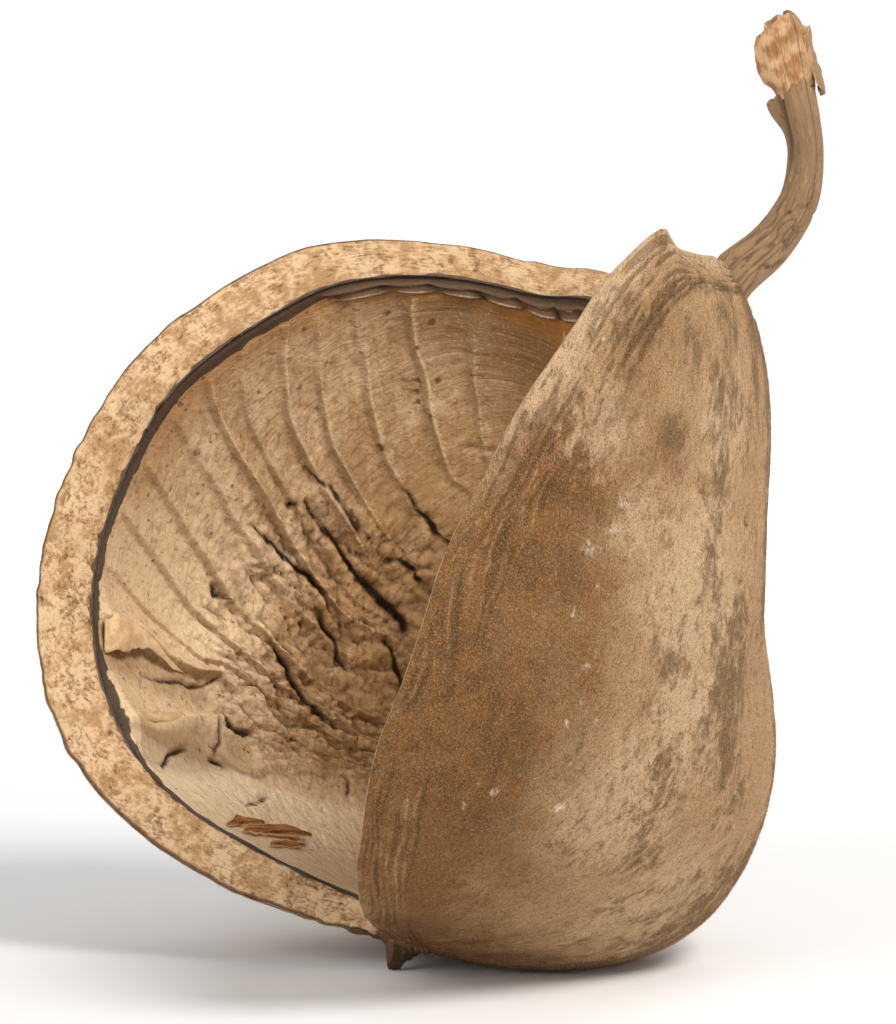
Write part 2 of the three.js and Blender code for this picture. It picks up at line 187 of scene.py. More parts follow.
HAIR_TONES = {"hair_dark": (92, 62, 34), "hair_brown": (150, 108, 64), "hair_pale": (200, 164, 118)}

# Slivers of the lining: line by part and turn, width, height over the lining
SLIVERS = [
    ("sliver_short", [(0.945, 328.8), (0.87, 324.5), (0.79, 321.5)], 1.9, 0.5),
    ("sliver_long", [(0.92, 329.6), (0.82, 325.6), (0.75, 322.6), (0.685, 321.2)], 2.7, 0.8),
    ("sliver_chip", [(0.90, 333.0), (0.82, 329.6), (0.74, 326.4)], 1.8, 0.5),
]

# The photo's camera, in degrees and metres
CAMERA_AZIMUTH = 54 * DEG
CAMERA_ELEVATION = 5 * DEG
CAMERA_TARGET = (0.00727, -0.01986, 0.07886)
CAMERA_DISTANCE = 0.8

# Large odd numbers that scramble the place of a cell and a seed into a random number
CELL_SCRAMBLE = (374761393, 668265263, 1440662683)
SEED_SCRAMBLE = 974634777
LOW_BITS = 0xFFFFFFFF


# Plain helpers
def bell(x, width):
    return np.exp(-((x / width) ** 2))


def smooth(x, low, high):
    t = np.clip((x - low) / (high - low), 0, 1)
    return t * t * (3 - 2 * t)


def lerp(a, b, t):
    return a + (b - a) * t


def unit(vectors):
    """The same directions with length 1."""
    return vectors / np.maximum(np.linalg.norm(vectors, axis=-1, keepdims=True), 1e-9)


def on_sheet(first, second):
    """Points of a flat sheet, each from the two numbers that place it there."""
    return np.stack([first, second, second * 0], -1)


def on_line(at, stations, line):
    """Points of a line through several stations."""
    line = np.asarray(line, float)
    return np.stack([np.interp(at, stations, line[:, n]) for n in range(line.shape[1])], -1)


def station_curve(xs, ys, x):
    """A curve through stations that never overshoots them."""
    xs = np.asarray(xs, float)
    ys = np.asarray(ys, float)
    rise = np.diff(ys) / np.diff(xs)
    tangent = np.zeros(len(xs))
    before, after = rise[:-1], rise[1:]
    turning = before * after <= 0
    total = np.where(turning, 1, before + after)
    tangent[1:-1] = np.where(turning, 0, 2 * before * after / total)
    k = np.clip(np.searchsorted(xs, x, side="left") - 1, 0, len(xs) - 2)
    h = xs[k + 1] - xs[k]
    t = (x - xs[k]) / h
    return (
        ys[k] * (2 * t**3 - 3 * t**2 + 1)
        + ys[k + 1] * (3 * t**2 - 2 * t**3)
        + h * tangent[k] * (t**3 - 2 * t**2 + t)
        + h * tangent[k + 1] * (t**3 - t**2)
    )


def lattice(cells, seed):
    """A steady random number from 0 to 1 for each whole-numbered cell."""
    c = cells.astype(np.int64)
    h = sum(c[..., axis] * CELL_SCRAMBLE[axis] for axis in range(3)) + seed * SEED_SCRAMBLE
    h = h & LOW_BITS
    h = ((h ^ (h >> 13)) * 1274126177) & LOW_BITS
    h = ((h ^ (h >> 15)) * 2246822519) & LOW_BITS
    return (h ^ (h >> 16)) / float(LOW_BITS)


def noise(points, size, seed=0, octaves=1):
    """Smooth unevenness from -1 to 1, with features about size across."""
    total = np.zeros(points.shape[:-1])
    strength, reach = 1.0, 0.0
    for octave in range(octaves):
        p = points / (np.asarray(size, float) / 2**octave) + 17.3 * octave
        cell = np.floor(p)
        f = p - cell
        f = f * f * f * (f * (f * 6 - 15) + 10)
        value = 0
        for corner in np.ndindex(2, 2, 2):
            weight = 1
            for axis in range(3):
                weight = weight * (f[..., axis] if corner[axis] else 1 - f[..., axis])
            value = value + weight * lattice(cell + np.array(corner), seed + octave)
        total += strength * (2 * value - 1)
        reach += strength
        strength *= 0.5
    return total / reach * 1.4


def lumps(points, size, seed=0):
    """Rounded lumps with creases between them: height from 0 in a crease to 1, and lump number."""
    p = points / np.asarray(size, float)
    cell = np.floor(p)
    nearest = np.full(points.shape[:-1], 9.0)
    second = np.full(points.shape[:-1], 9.0)
    number = np.zeros(points.shape[:-1])
    for dx in (-1, 0, 1):
        for dy in (-1, 0, 1):
            for dz in (-1, 0, 1):
                there = cell + np.array([dx, dy, dz])
                centre = there + np.stack([lattice(there, seed + n) for n in range(3)], -1)
                d = np.linalg.norm(p - centre, axis=-1)
                closer = d < nearest
                second = np.where(closer, nearest, np.minimum(second, d))
                number = np.where(closer, lattice(there, seed + 5), number)
                nearest = np.where(closer, d, nearest)
    return np.clip((second - nearest) * 1.6, 0, 1) ** 0.6, number


def line_distance(points, line):
    """Distance of each point to a line through several points, and how far along the line."""
    best = np.full(points.shape[:-1], 1e9)
    along = np.zeros(points.shape[:-1])
    pieces = len(line) - 1
    for k in range(pieces):
        a, b = line[k], line[k + 1]
        t = np.clip(((points - a) @ (b - a)) / max((b - a) @ (b - a), 1e-9), 0, 1)
        d = np.linalg.norm(points - a - t[..., None] * (b - a), axis=-1)
        along = np.where(d < best, (k + t) / pieces, along)
        best = np.minimum(best, d)
    return best, along


# Form of the pod
AXES = np.array([
    [1, 0, 0],
    [0, math.sin(MOUTH_LEAN), math.cos(MOUTH_LEAN)],
    [0, -math.cos(MOUTH_LEAN), math.sin(MOUTH_LEAN)],
])


def direction(back, turn):
    """back is the angle from the deepest point of the back, turn goes from the beak by the
    right valve to the stalk and back by the left valve."""
    back, turn = np.broadcast_arrays(np.asarray(back, float), np.asarray(turn, float))
    return np.stack([np.sin(back) * np.sin(turn), -np.sin(back) * np.cos(turn), -np.cos(back)], -1)


def place(u, r):
    return MIDDLE + np.asarray(r)[..., None] * (u @ AXES)


def angle_to(u, towards):
    towards = np.asarray(towards, float)
    return np.arccos(np.clip(u @ towards / np.linalg.norm(towards), -1, 1))


def body_radius(u):
    s, a, m = u[..., 0], u[..., 1], u[..., 2]
    n = SQUARENESS
    r = (
        (np.abs(s) / HALF_WIDTH) ** n
        + (np.abs(a) / np.where(a > 0, TOP_REACH, BOTTOM_REACH)) ** n
        + (np.abs(m) / np.where(m > 0, FRONT_REACH, BACK_REACH)) ** n
    ) ** (-1 / n)
    r = r - SEAM_GROOVE * bell(s, SEAM_GROOVE_WIDTH) * np.clip(0.25 - m, 0, 1)
    for height, towards, width in SWELLINGS:
        r = r + height * bell(angle_to(u, towards), width * DEG)
    return r


def lip_angle(turn):
    degrees = np.mod(np.asarray(turn, float) / DEG, 360)
    right = station_curve(LIP_TURNS, RIGHT_LIP, np.clip(degrees, 0, 180)) + 1.3 * bell(degrees - 138, 7)
    left = station_curve(LIP_TURNS, LEFT_LIP, np.clip(360 - degrees, 0, 180))
    return np.where(degrees <= 180, right, left) * DEG


def to_lip(part, turn, r):
    return (1 - part) * lip_angle(turn) * r


def base_skin(part, turn):
    """Direction and radius of the smooth skin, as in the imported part."""
    u = direction(part * lip_angle(turn), turn)
    from_beak = angle_to(u, direction(BEAK_PLACE, 0.0))
    # the spur is steep on the left valve's side
    width = BEAK_WIDTH * (0.62 - 0.36 * smooth(-u[..., 0], 0.0, 0.014))
    r = body_radius(u) + BEAK_LENGTH * np.exp(-((from_beak / width) ** 1.1))
    r = r + 0.45 * np.sin(9 * u[..., 0] + 2 * u[..., 1]) * np.sin(8 * u[..., 1] + 3 * u[..., 2] + 1)
    return u, r


def skin_places(marks):
    """Points of the smooth skin at places given by part and turn in degrees."""
    marks = np.asarray(marks, float)
    u, r = base_skin(marks[:, 0], marks[:, 1] * DEG)
    return place(u, r)


def wall(part, turn):
    degrees = np.abs(180 - turn / DEG)
    near_beak = 1 - 0.45 * bell(180 - degrees, 12) * part**6
    uneven = np.clip((degrees - 90) / 35, -2, 2) * 90 * DEG
    lip_wall = WALL + WALL_SPREAD * np.sin(uneven)
    near_stalk = 1 - 0.42 * (1 - smooth(degrees, 12, 48)) * part**4
    return lerp(WALL_BACK, lip_wall, part**2) * near_beak * near_stalk


def lining_direction(part, turn):
    return direction(part * (lip_angle(turn) - LIP_SETBACK * np.abs(np.sin(turn))), turn)


def lining_places(marks, height=0.0):
    """Points over the lining at places given by part and turn in degrees."""
    marks = np.asarray(marks, float)
    turn = marks[:, 1] * DEG
    u = lining_direction(marks[:, 0], turn)
    return place(u, body_radius(u) - wall(marks[:, 0], turn) - height)


def drawn(line, steps=5):
    """Points of a line over the lining, in short steps between places given by part and turn."""
    line = np.asarray(line, float)
    at = np.linspace(0, len(line) - 1, steps * (len(line) - 1) + 1)
    return lining_places(on_line(at, np.arange(len(line)), line))


# Meshes and materials
def tone(red, green, blue):
    """A colour of the picture, 0 to 255 each, as the shader's linear colour."""
    return tuple(
        (c / 12.92 if c <= 0.04045 else ((c + 0.055) / 1.055) ** 2.4)
        for c in (red / 255, green / 255, blue / 255)
    ) + (1.0,)


def make_piece(name, points, faces, materials, slots=None, fields=None, sharp=False):
    """A mesh piece from points in millimetres. fields are numbers that its materials read."""
    mesh = bpy.data.meshes.new(name)
    mesh.from_pydata((points * MM).tolist(), [], faces)
    for material in materials:
        mesh.materials.append(material)
    if slots is not None:
        mesh.polygons.foreach_set("material_index", slots)
    mesh.polygons.foreach_set("use_smooth", [not sharp] * len(mesh.polygons))
    for field, values in (fields or {}).items():
        values = np.asarray(values, np.float32)
        if values.ndim == 2:
            attribute = mesh.attributes.new(field, "FLOAT_VECTOR", "POINT")
            attribute.data.foreach_set("vector", values.ravel())
        else:
            attribute = mesh.attributes.new(field, "FLOAT", "POINT")
            attribute.data.foreach_set("value", values)
    mesh.validate()
    mesh.update()
    piece = bpy.data.objects.new(name, mesh)
    bpy.context.scene.collection.objects.link(piece)
    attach(piece, "root")
    return piece


def closed_faces(rows, columns):
    """Faces of a closed skin: a point, rings of points, and a last point."""
    ring = np.arange(columns)
    after = (ring + 1) % columns
    faces = [[0, 1 + b, 1 + a] for a, b in zip(ring, after)]
    row = (1 + np.arange(rows - 1) * columns)[:, None]
    a, b = row + ring, row + after
    quads = np.stack([a, b, b + columns, a + columns], -1).reshape(-1, 4)
    faces += quads.tolist()
    last = 1 + rows * columns
    start = 1 + (rows - 1) * columns
    faces += [[last, start + a, start + b] for a, b in zip(ring, after)]
    return faces


def closed_points(rings):
    """Points of a closed skin: the middle of the first ring, all rings, the middle of the last."""
    return np.concatenate([[rings[0].mean(0)], rings.reshape(-1, 3), [rings[-1].mean(0)]])


def ring_fields(**fields):
    """Fields of a closed skin: the values of its first point, its rings and its last point."""
    out = {}
    for name, values in fields.items():
        flat = values.reshape(-1, values.shape[-1]) if values.ndim == 3 else values.reshape(-1)
        out[name] = np.concatenate([flat[:1], flat, flat[-1:]])
    return out


class Value:
    """A number that a shader works out. Expressions on it add Math nodes."""

    def __init__(self, finish, socket):
        self.finish = finish
        self.socket = socket

    def maths(self, operation, *values):
        return Value(self.finish, self.finish.node("Math", {"operation": operation}, *values).outputs[0])

    def __add__(self, other):
        return self.maths("ADD", self, other)

    def __sub__(self, other):
        return self.maths("SUBTRACT", self, other)

    def __rsub__(self, other):
        return self.maths("SUBTRACT", other, self)

    def __mul__(self, other):
        return self.maths("MULTIPLY", self, other)

    __radd__ = __add__
    __rmul__ = __mul__

    def between(self, low, high):
        """0 below low, 1 above high, and smooth in between."""
        settings = {"interpolation_type": "SMOOTHSTEP"}
        return Value(self.finish, self.finish.node("MapRange", settings, self, low, high, 0, 1).outputs[0])


class Nodes:
    """The nodes of a material or of the world."""

    def __init__(self, tree):
        self.tree = tree
        self.tree.nodes.clear()

    def connect(self, value, socket):
        if isinstance(value, Value):
            value = value.socket
        if isinstance(value, bpy.types.NodeSocket):
            self.tree.links.new(value, socket)
        elif value is not None:
            socket.default_value = value

    def node(self, kind, settings, *values, **named):
        """Adds a node of a kind, with its settings, then the values or links of its sockets."""
        node = self.tree.nodes.new("ShaderNode" + kind)
        for name, setting in settings.items():
            if name == "stops":
                ramp = node.color_ramp.elements
                while len(ramp) < len(setting):
                    ramp.new(1)
                for element, (position, colour) in zip(ramp, setting):
                    element.position = position
                    element.color = colour
            else:
                setattr(node, name, setting)
        for socket, value in zip(node.inputs, values):
            self.connect(value, socket)
        for name, value in named.items():
            self.connect(value, node.inputs[name.replace("_", " ").title()])
        return node


class Finish(Nodes):
    """A material with one shader."""

    def __init__(self, name, roughness):
        self.material = bpy.data.materials.new(name)
        self.material.use_nodes = True
        super().__init__(self.material.node_tree)
        self.shader = self.node("BsdfPrincipled", {})
        self.node("OutputMaterial", {}, self.shader.outputs[0])
        self.set("Roughness", roughness)

    def set(self, name, value):
        self.connect(value, self.shader.inputs[name])

    def field(self, name):
        """A number that the mesh holds."""
        node = self.node("Attribute", {"attribute_name": name})
        return Value(self, node.outputs["Fac"])

    def flow(self, name, stretch):
        """Millimetres along and across the growth of the piece, which the mesh holds, stretched."""
        node = self.node("Attribute", {"attribute_name": name})
        return self.node("VectorMath", {"operation": "MULTIPLY"}, node.outputs["Vector"], stretch).outputs[0]

    def place(self, stretch=(1, 1, 1)):
        """Place on the piece in millimetres, stretched."""
        node = self.node("TexCoord", {})
        scale = tuple(1000 * s for s in stretch)
        return self.node("VectorMath", {"operation": "MULTIPLY"}, node.outputs["Object"], scale).outputs[0]

    def unevenness(self, where, size, detail=2.0, roughness=0.55, distortion=0.0):
        """Noise about a half, with features about size across."""
        node = self.node(
            "TexNoise", {}, Vector=where, Scale=1 / size, Detail=detail,
            Roughness=roughness, Distortion=distortion,
        )
        return Value(self, node.outputs[0])

    def mix(self, first, second, factor, blend="MIX"):
        node = self.node("Mix", {"data_type": "RGBA", "blend_type": blend})
        self.connect(factor, node.inputs[0])
        self.connect(first, node.inputs[6])
        self.connect(second, node.inputs[7])
        return node.outputs[2]

    def paint(self, colour):
        self.connect(colour, self.shader.inputs["Base Color"])

    def emboss(self, *layers):
        """Bumps, each a height from 0 to 1 and its depth in millimetres."""
        normal = None
        for height, depth in layers:
            node = self.node("Bump", {}, Strength=1.0, Distance=depth * MM, Height=height)
            if normal is not None:
                self.connect(normal, node.inputs["Normal"])
            normal = node.outputs[0]
        self.set("Normal", Value(self, normal))


def length(name, description, default):
    return bpy.props.FloatProperty(
        name=name, description=description, default=default, min=0.0, unit="LENGTH", precision=5
    )


def colour(name, description, red, green, blue):
    return bpy.props.FloatVectorProperty(
        name=name, description=description, default=tone(red, green, blue), size=4,
        subtype="COLOR", min=0.0, max=1.0,
    )


class PodSizes(bpy.types.PropertyGroup):
    """Heights of the fine relief."""

    wrinkle_height: length("Wrinkles", "Height of the skin's wrinkles along the lip", 0.00038)
    lip_bulge: length("Lip bulge", "How much the cut face of the lip is rounded", 0.0009)
    ridge_height: length("Ridges", "Height of the papery ridges of the lining", 0.0014)
    torn_height: length("Torn ridges", "Height of the two torn ridges", 0.0024)
    pad_height: length("Seed scars", "Height of the seed scars under the lip", 0.0014)
    crumple_height: length("Crumples", "Height of the lumps deep in the lining", 0.0015)
    bark_height: length("Bark", "Height of the bark's ridges", 0.00048)
    hair_length: length("Fuzz", "Length of a hair of the skin", 0.0006)
    hair_count: bpy.props.IntProperty(
        name="Hairs", description="Hairs on each valve", default=85000, min=0, max=95000
    )


class PodColours(bpy.types.PropertyGroup):
    """Colours of the finishes."""

    skin_light: colour("Skin, light", "Tan of the skin toward the back", 174, 139, 100)
    skin_brown: colour("Skin, brown", "Brown of the skin near the lip", 128, 88, 48)
    skin_dark: colour("Skin, dark", "Dark mottling of the skin", 84, 58, 33)
    lip_cream: colour("Lip, cream", "Palest part of the lip", 219, 184, 143)
    lip_tan: colour("Lip, tan", "Middle colour of the lip", 178, 138, 94)
    lip_brown: colour("Lip, brown", "Flecks of the lip", 98, 66, 38)
    edge_dark: colour("Edge", "Line between lip and lining", 66, 50, 40)
    lining_pale: colour("Lining, pale", "Pale tan of the lining", 230, 196, 155)
    lining_tan: colour("Lining, tan", "Darker tan of the lining", 172, 132, 88)
    lining_orange: colour("Lining, orange", "Tint under the lip", 160, 104, 48)
    # painted shade in the cracks
    lining_crack: colour("Cracks", "Depth of the cracks", 42, 24, 10)
    bark_brown: colour("Bark", "Bark of the stalk", 138, 107, 75)
    # painted shade in the furrows of the bark
    bark_dark: colour("Bark, dark", "Furrows of the bark", 84, 58, 34)
    wood_cream: colour("Wood", "Torn wood of the stalk", 198, 160, 116)
    wood_orange: colour("Wood, orange", "Stains of the torn wood", 162, 114, 70)


# Finishes
def skin_finish(colours):
    f = Finish("skin", 0.9)
    f.set("Specular IOR Level", 0.18)
    where = f.place()
    felt = f.unevenness(where, 0.3, 3, 0.7)
    grain = f.unevenness(f.flow("flow", (1, 0.5, 1)), 0.8, 4, 0.7, 0.3)
    mottle = f.unevenness(f.flow("flow", (1, 0.6, 1)), 2.0, 4, 0.7, 0.4)
    cloud = f.unevenness(where, 6.0, 4, 0.65, 0.3)
    broad = f.unevenness(where, 17, 3, 0.55)
    brown = f.field("warm") + (cloud - 0.5) * 2.2 + (mottle - 0.5) * 1.8 + (broad - 0.5) * 1.4
    brown = brown.between(-0.05, 1.25)
    tan = f.mix(colours.skin_light, colours.skin_brown, brown)
    light = f.field("pale") * 0.7 + (cloud - 0.5) * 1.4 + (mottle - 0.5) * 2.2 - brown * 0.3
    tan = f.mix(tan, tone(216, 186, 149), light.between(0.0, 0.75) * 0.56)
    dark = f.field("dark") * 0.85 + (0.5 - cloud) * 1.9 + (0.5 - mottle) * 2.2 + (broad - 0.5) * 1.1
    tan = f.mix(tan, colours.skin_dark, dark.between(0.04, 0.8) * 0.66)
    # painted shade in the furrows of the wrinkles
    furrow = (f.field("furrow") + (grain - 0.5) * 0.8).between(0.2, 0.9)
    tan = f.mix(tan, tone(70, 47, 24), furrow * 0.5)
    # painted highlight on the crests of the wrinkles
    tan = f.mix(tan, tone(206, 168, 120), (f.field("crest") + (grain - 0.5) * 1.2).between(0.4, 1.1) * 0.3)
    # the felt: dark between the hairs and light on them
    tan = f.mix(tan, tone(60, 38, 18), (0.5 - grain).between(0.0, 0.2) * 0.4)
    tan = f.mix(tan, tone(60, 38, 18), (0.5 - felt).between(0.0, 0.17) * 0.6)
    tan = f.mix(tan, tone(214, 180, 134), (felt - 0.5).between(0.02, 0.2) * 0.34)
    worn = (f.field("white") + (mottle - 0.5) * 1.8 + (grain - 0.5) * 1.6).between(0.5, 1.3)
    tan = f.mix(tan, tone(232, 216, 194), worn * 0.7)
    pink = (f.field("pink") + (grain - 0.5) * 2.6).between(0.4, 1.2)
    tan = f.mix(tan, tone(178, 104, 70), pink * 0.4)
    tan = f.mix(tan, tone(58, 36, 16), (f.field("beak") + (grain - 0.5) * 2.4).between(0.2, 1.2) * 0.85)
    # painted shade inside the holes
    tan = f.mix(tan, tone(36, 22, 12), f.field("hole"))
    f.paint(tan)
    f.emboss((felt, 0.2), (grain, 0.3), (mottle, 0.6), (cloud, 0.8))
    return f.material


def lip_finish(colours):
    f = Finish("lip", 0.68)
    f.set("Specular IOR Level", 0.25)
    where = f.place()
    blot = f.unevenness(where, 2.4, 4, 0.66, 0.5)
    fleck = f.unevenness(f.flow("flow", (0.7, 1, 1)), 0.62, 4, 0.7, 0.2)
    broad = f.unevenness(where, 8, 3, 0.55)
    cream = (blot + (broad - 0.5) * 0.8 + (fleck - 0.5) * 0.8).between(0.33, 0.66)
    cream = f.mix(colours.lip_tan, colours.lip_cream, cream)
    brown = (0.5 - blot + (broad - 0.5) * 0.8 + (0.5 - fleck) * 0.9).between(-0.02, 0.28)
    cream = f.mix(cream, tone(126, 88, 54), brown * 0.72)
    speck = ((0.5 - fleck) * 1.3 + (0.5 - blot) * 0.9).between(0.17, 0.32)
    cream = f.mix(cream, colours.lip_brown, speck * 0.7)
    outline = (f.field("edge") + (fleck - 0.5) * 0.9).between(0.35, 0.75)
    cream = f.mix(cream, tone(78, 54, 34), outline * 0.85)
    tip = (f.field("beak") + (fleck - 0.5) * 1.2).between(0.3, 0.8)
    cream = f.mix(cream, tone(72, 47, 24), tip * 0.9)
    f.paint(cream)
    f.emboss((blot, 0.6), (fleck, 0.3))
    return f.material


def edge_finish(colours):
    f = Finish("lip_edge", 0.6)
    streak = f.unevenness(f.flow("flow", (0.25, 1, 1)), 0.5, 3, 0.6)
    dark = f.mix(colours.edge_dark, tone(128, 102, 80), streak.between(0.5, 0.72) * 0.7)
    dark = f.mix(dark, tone(28, 20, 14), (0.5 - streak).between(0.02, 0.2) * 0.7)
    f.paint(dark)
    f.emboss((streak, 0.25))
    return f.material


def lining_finish(colours):
    f = Finish("lining", 0.84)
    f.set("Specular IOR Level", 0.2)
    where = f.place()
    cloud = f.unevenness(where, 7, 4, 0.62, 0.3)
    fibre = f.unevenness(f.flow("flow", (0.5, 2.0, 1)), 1.4, 4, 0.7, 0.6)
    thread = f.unevenness(f.flow("flow", (2.4, 0.35, 1)), 1.2, 4, 0.7, 0.4)
    mottle = f.unevenness(where, 1.6, 4, 0.72, 0.3)
    fine = f.unevenness(where, 0.6, 4, 0.72)
    pale = (cloud - 0.5) * 1.4 + (mottle - 0.5) * 1.2
    # deep darkens the tan as painted shade; cream lightens it, partly the lining's own pale floor, partly
    # painted light
    pale = pale + f.field("cream") * 0.7 - f.field("deep") * 0.5 + 0.45
    tan = f.mix(colours.lining_tan, colours.lining_pale, pale.between(0.0, 1.0))
    # painted light on the floor of the bowl, over its own paler tone
    tan = f.mix(tan, tone(255, 230, 190), (f.field("cream") + (mottle - 0.5) * 0.8).between(0.8, 1.5) * 0.9)
    # painted shade under the right valve and under the torn flaps
    tan = f.mix(tan, tone(112, 74, 36), (f.field("shade") + (mottle - 0.5) * 0.5).between(0.1, 1.1) * 0.72)
    tan = f.mix(tan, tone(118, 82, 48), (0.5 - fibre).between(0.0, 0.24) * 0.36)
    tan = f.mix(tan, tone(118, 82, 48), (0.5 - thread).between(0.02, 0.24) * 0.25)
    tan = f.mix(tan, tone(110, 76, 44), (0.5 - mottle).between(0.03, 0.24) * 0.42)
    tan = f.mix(tan, tone(242, 214, 176), (fine - 0.5).between(0.02, 0.2) * 0.25)
    tan = f.mix(tan, tone(92, 60, 32), (0.5 - fine).between(0.04, 0.2) * 0.25)
    orange = (f.field("orange") + (cloud - 0.5) * 1.0 + (fibre - 0.5) * 0.6).between(0.2, 1.05)
    tan = f.mix(tan, colours.lining_orange, orange * 0.72)
    # painted highlight along the ridge crests
    tan = f.mix(tan, tone(244, 214, 168), (f.field("crest") + (fine - 0.5) * 1.4).between(0.4, 1.1) * 0.6)
    # painted shade at the steep feet of the ridges
    tan = f.mix(tan, tone(120, 84, 50), (f.field("foot") + (fibre - 0.5) * 1.2).between(0.2, 1.2) * 0.4)
    # painted shade in the creases
    crease = (f.field("crease") + (fine - 0.5) * 0.7).between(0.2, 0.95)
    tan = f.mix(tan, tone(92, 62, 34), crease * 0.52)
    fleck = f.unevenness(f.flow("flow", (1.1, 0.8, 1)), 1.7, 3, 0.6, 0.2)
    flecks = (fleck + (cloud - 0.5) * 0.4 + (fine - 0.5) * 0.3).between(0.65, 0.73)
    tan = f.mix(tan, tone(96, 60, 30), flecks * 0.7)
    tan = f.mix(tan, tone(72, 44, 20), (f.field("stain") + (fine - 0.5) * 1.5).between(0.35, 0.8) * 0.8)
    # painted shade in the cracks
    tan = f.mix(tan, colours.lining_crack, (f.field("crack") + (fine - 0.5) * 0.4).between(0.2, 0.75) * 0.95)
    tan = f.mix(tan, tone(246, 240, 228), (f.field("speck") + (fine - 0.5) * 0.9).between(0.4, 0.8) * 0.9)
    # the dark edge under the lip and the seed scars in it, with their pale rims and painted glints
    tan = f.mix(tan, tone(66, 52, 42), (f.field("edge") + (fine - 0.5) * 0.6).between(0.3, 0.8) * 0.92)
    scar = f.field("scar")
    tan = f.mix(tan, tone(104, 79, 58), scar.between(0.2, 0.75) * 0.9)
    tan = f.mix(tan, tone(36, 26, 18), scar.between(1.02, 1.35) * 0.9)
    rims_and_glints = (f.field("scar_rim") + (fine - 0.5) * 1.0).between(0.35, 0.95)
    tan = f.mix(tan, tone(196, 170, 136), rims_and_glints * 0.75)
    f.paint(tan)
    f.set("Roughness", 0.84 - f.field("scar_rim") * 0.35 - scar * 0.15)
    f.emboss((fine, 0.16), (mottle, 0.35), (fibre, 0.4), (thread, 0.2))
    return f.material


def flap_finish(colours):
    f = Finish("torn_flap", 0.75)
    f.set("Specular IOR Level", 0.25)
    where = f.place()
    broad = f.unevenness(where, 2.6, 3, 0.6)
    fibre = f.unevenness(where, 0.6, 4, 0.7)
    cream = f.mix(tone(202, 164, 120), tone(228, 194, 150), broad.between(0.35, 0.65))
    cream = f.mix(cream, tone(150, 104, 60), (0.5 - fibre).between(0.06, 0.24) * 0.5)
    cream = f.mix(cream, colours.lining_orange, (f.field("root") + (broad - 0.5)).between(0.5, 1.2) * 0.5)
    f.paint(cream)
    f.emboss((fibre, 0.12), (broad, 0.3))
    return f.material


def sliver_finish():
    f = Finish("sliver", 0.6)
    grain = f.unevenness(f.flow("flow", (0.25, 2.2, 1)), 1.0, 3, 0.65, 0.3)
    pale = (f.field("rim") + (grain - 0.5) * 1.4).between(0.35, 0.95)
    brown = f.mix(tone(96, 58, 24), tone(186, 128, 70), grain.between(0.36, 0.6))
    f.paint(f.mix(brown, tone(232, 192, 138), pale))
    f.emboss((grain, 0.2))
    return f.material


def bark_finish(colours):
    f = Finish("bark", 0.8)
    streak = f.unevenness(f.flow("flow", (1, 0.12, 1)), 0.6, 4, 0.65, 0.6)
    fine = f.unevenness(f.flow("flow", (1, 0.5, 1)), 0.5, 3, 0.6)
    broad = f.unevenness(f.place(), 8, 2, 0.5)
    brown = f.mix(colours.bark_brown, tone(122, 93, 62), (broad + (streak - 0.5) * 1.6).between(0.4, 0.7))
    # painted shade in the bark's furrows and its groove
    furrow = (f.field("furrow") + (0.5 - streak) * 2.0).between(0.15, 0.8)
    brown = f.mix(brown, colours.bark_dark, furrow * 0.7)
    light = ((streak - 0.5) - f.field("furrow") * 0.2).between(0.03, 0.16)
    brown = f.mix(brown, tone(186, 152, 112), light * 0.55)
    brown = f.mix(brown, tone(60, 40, 24), (f.field("knot") + (fine - 0.5) * 0.5).between(0.4, 0.9) * 0.8)
    f.paint(brown)
    f.emboss((fine, 0.15), (streak, 0.35))
    return f.material


def wood_finish(colours):
    f = Finish("torn_wood", 0.7)
    grain = f.unevenness(f.flow("flow", (1.6, 0.2, 1)), 0.6, 3, 0.6, 0.4)
    broad = f.unevenness(f.place(), 3.0, 2, 0.5)
    cream = f.mix(colours.wood_orange, colours.wood_cream, (grain * 0.3 + broad * 0.8).between(0.42, 0.64))
    cream = f.mix(cream, tone(132, 88, 48), (0.52 - grain * 0.5 - broad * 0.5).between(0.0, 0.14) * 0.6)
    cream = f.mix(cream, tone(150, 100, 58), (0.5 - grain).between(0.05, 0.25) * 0.5)
    cream = f.mix(cream, tone(146, 108, 70), (f.field("rind") + (grain - 0.5) * 1.2).between(0.2, 1.2) * 0.8)
    f.paint(cream)
    f.emboss((grain, 0.3))
    return f.material


# The husk: its skin, the cut lip, the dark edge and the wall under the lining
def mark_field(points, marks, mirror_shift=None):
    """Soft round marks on the right valve's skin, and their like on the left valve."""
    field = np.zeros(points.shape[:-1])
    marks = np.asarray(marks, float)
    sets = [marks]
    if mirror_shift is not None:
        other = marks.copy()
        other[:, 1] = 360 - other[:, 1] + mirror_shift
        sets.append(other)
    for group in sets:
        for centre, size in zip(skin_places(group), group[:, 2]):
            field = np.maximum(field, bell(np.linalg.norm(points - centre, axis=-1), size))
    return field


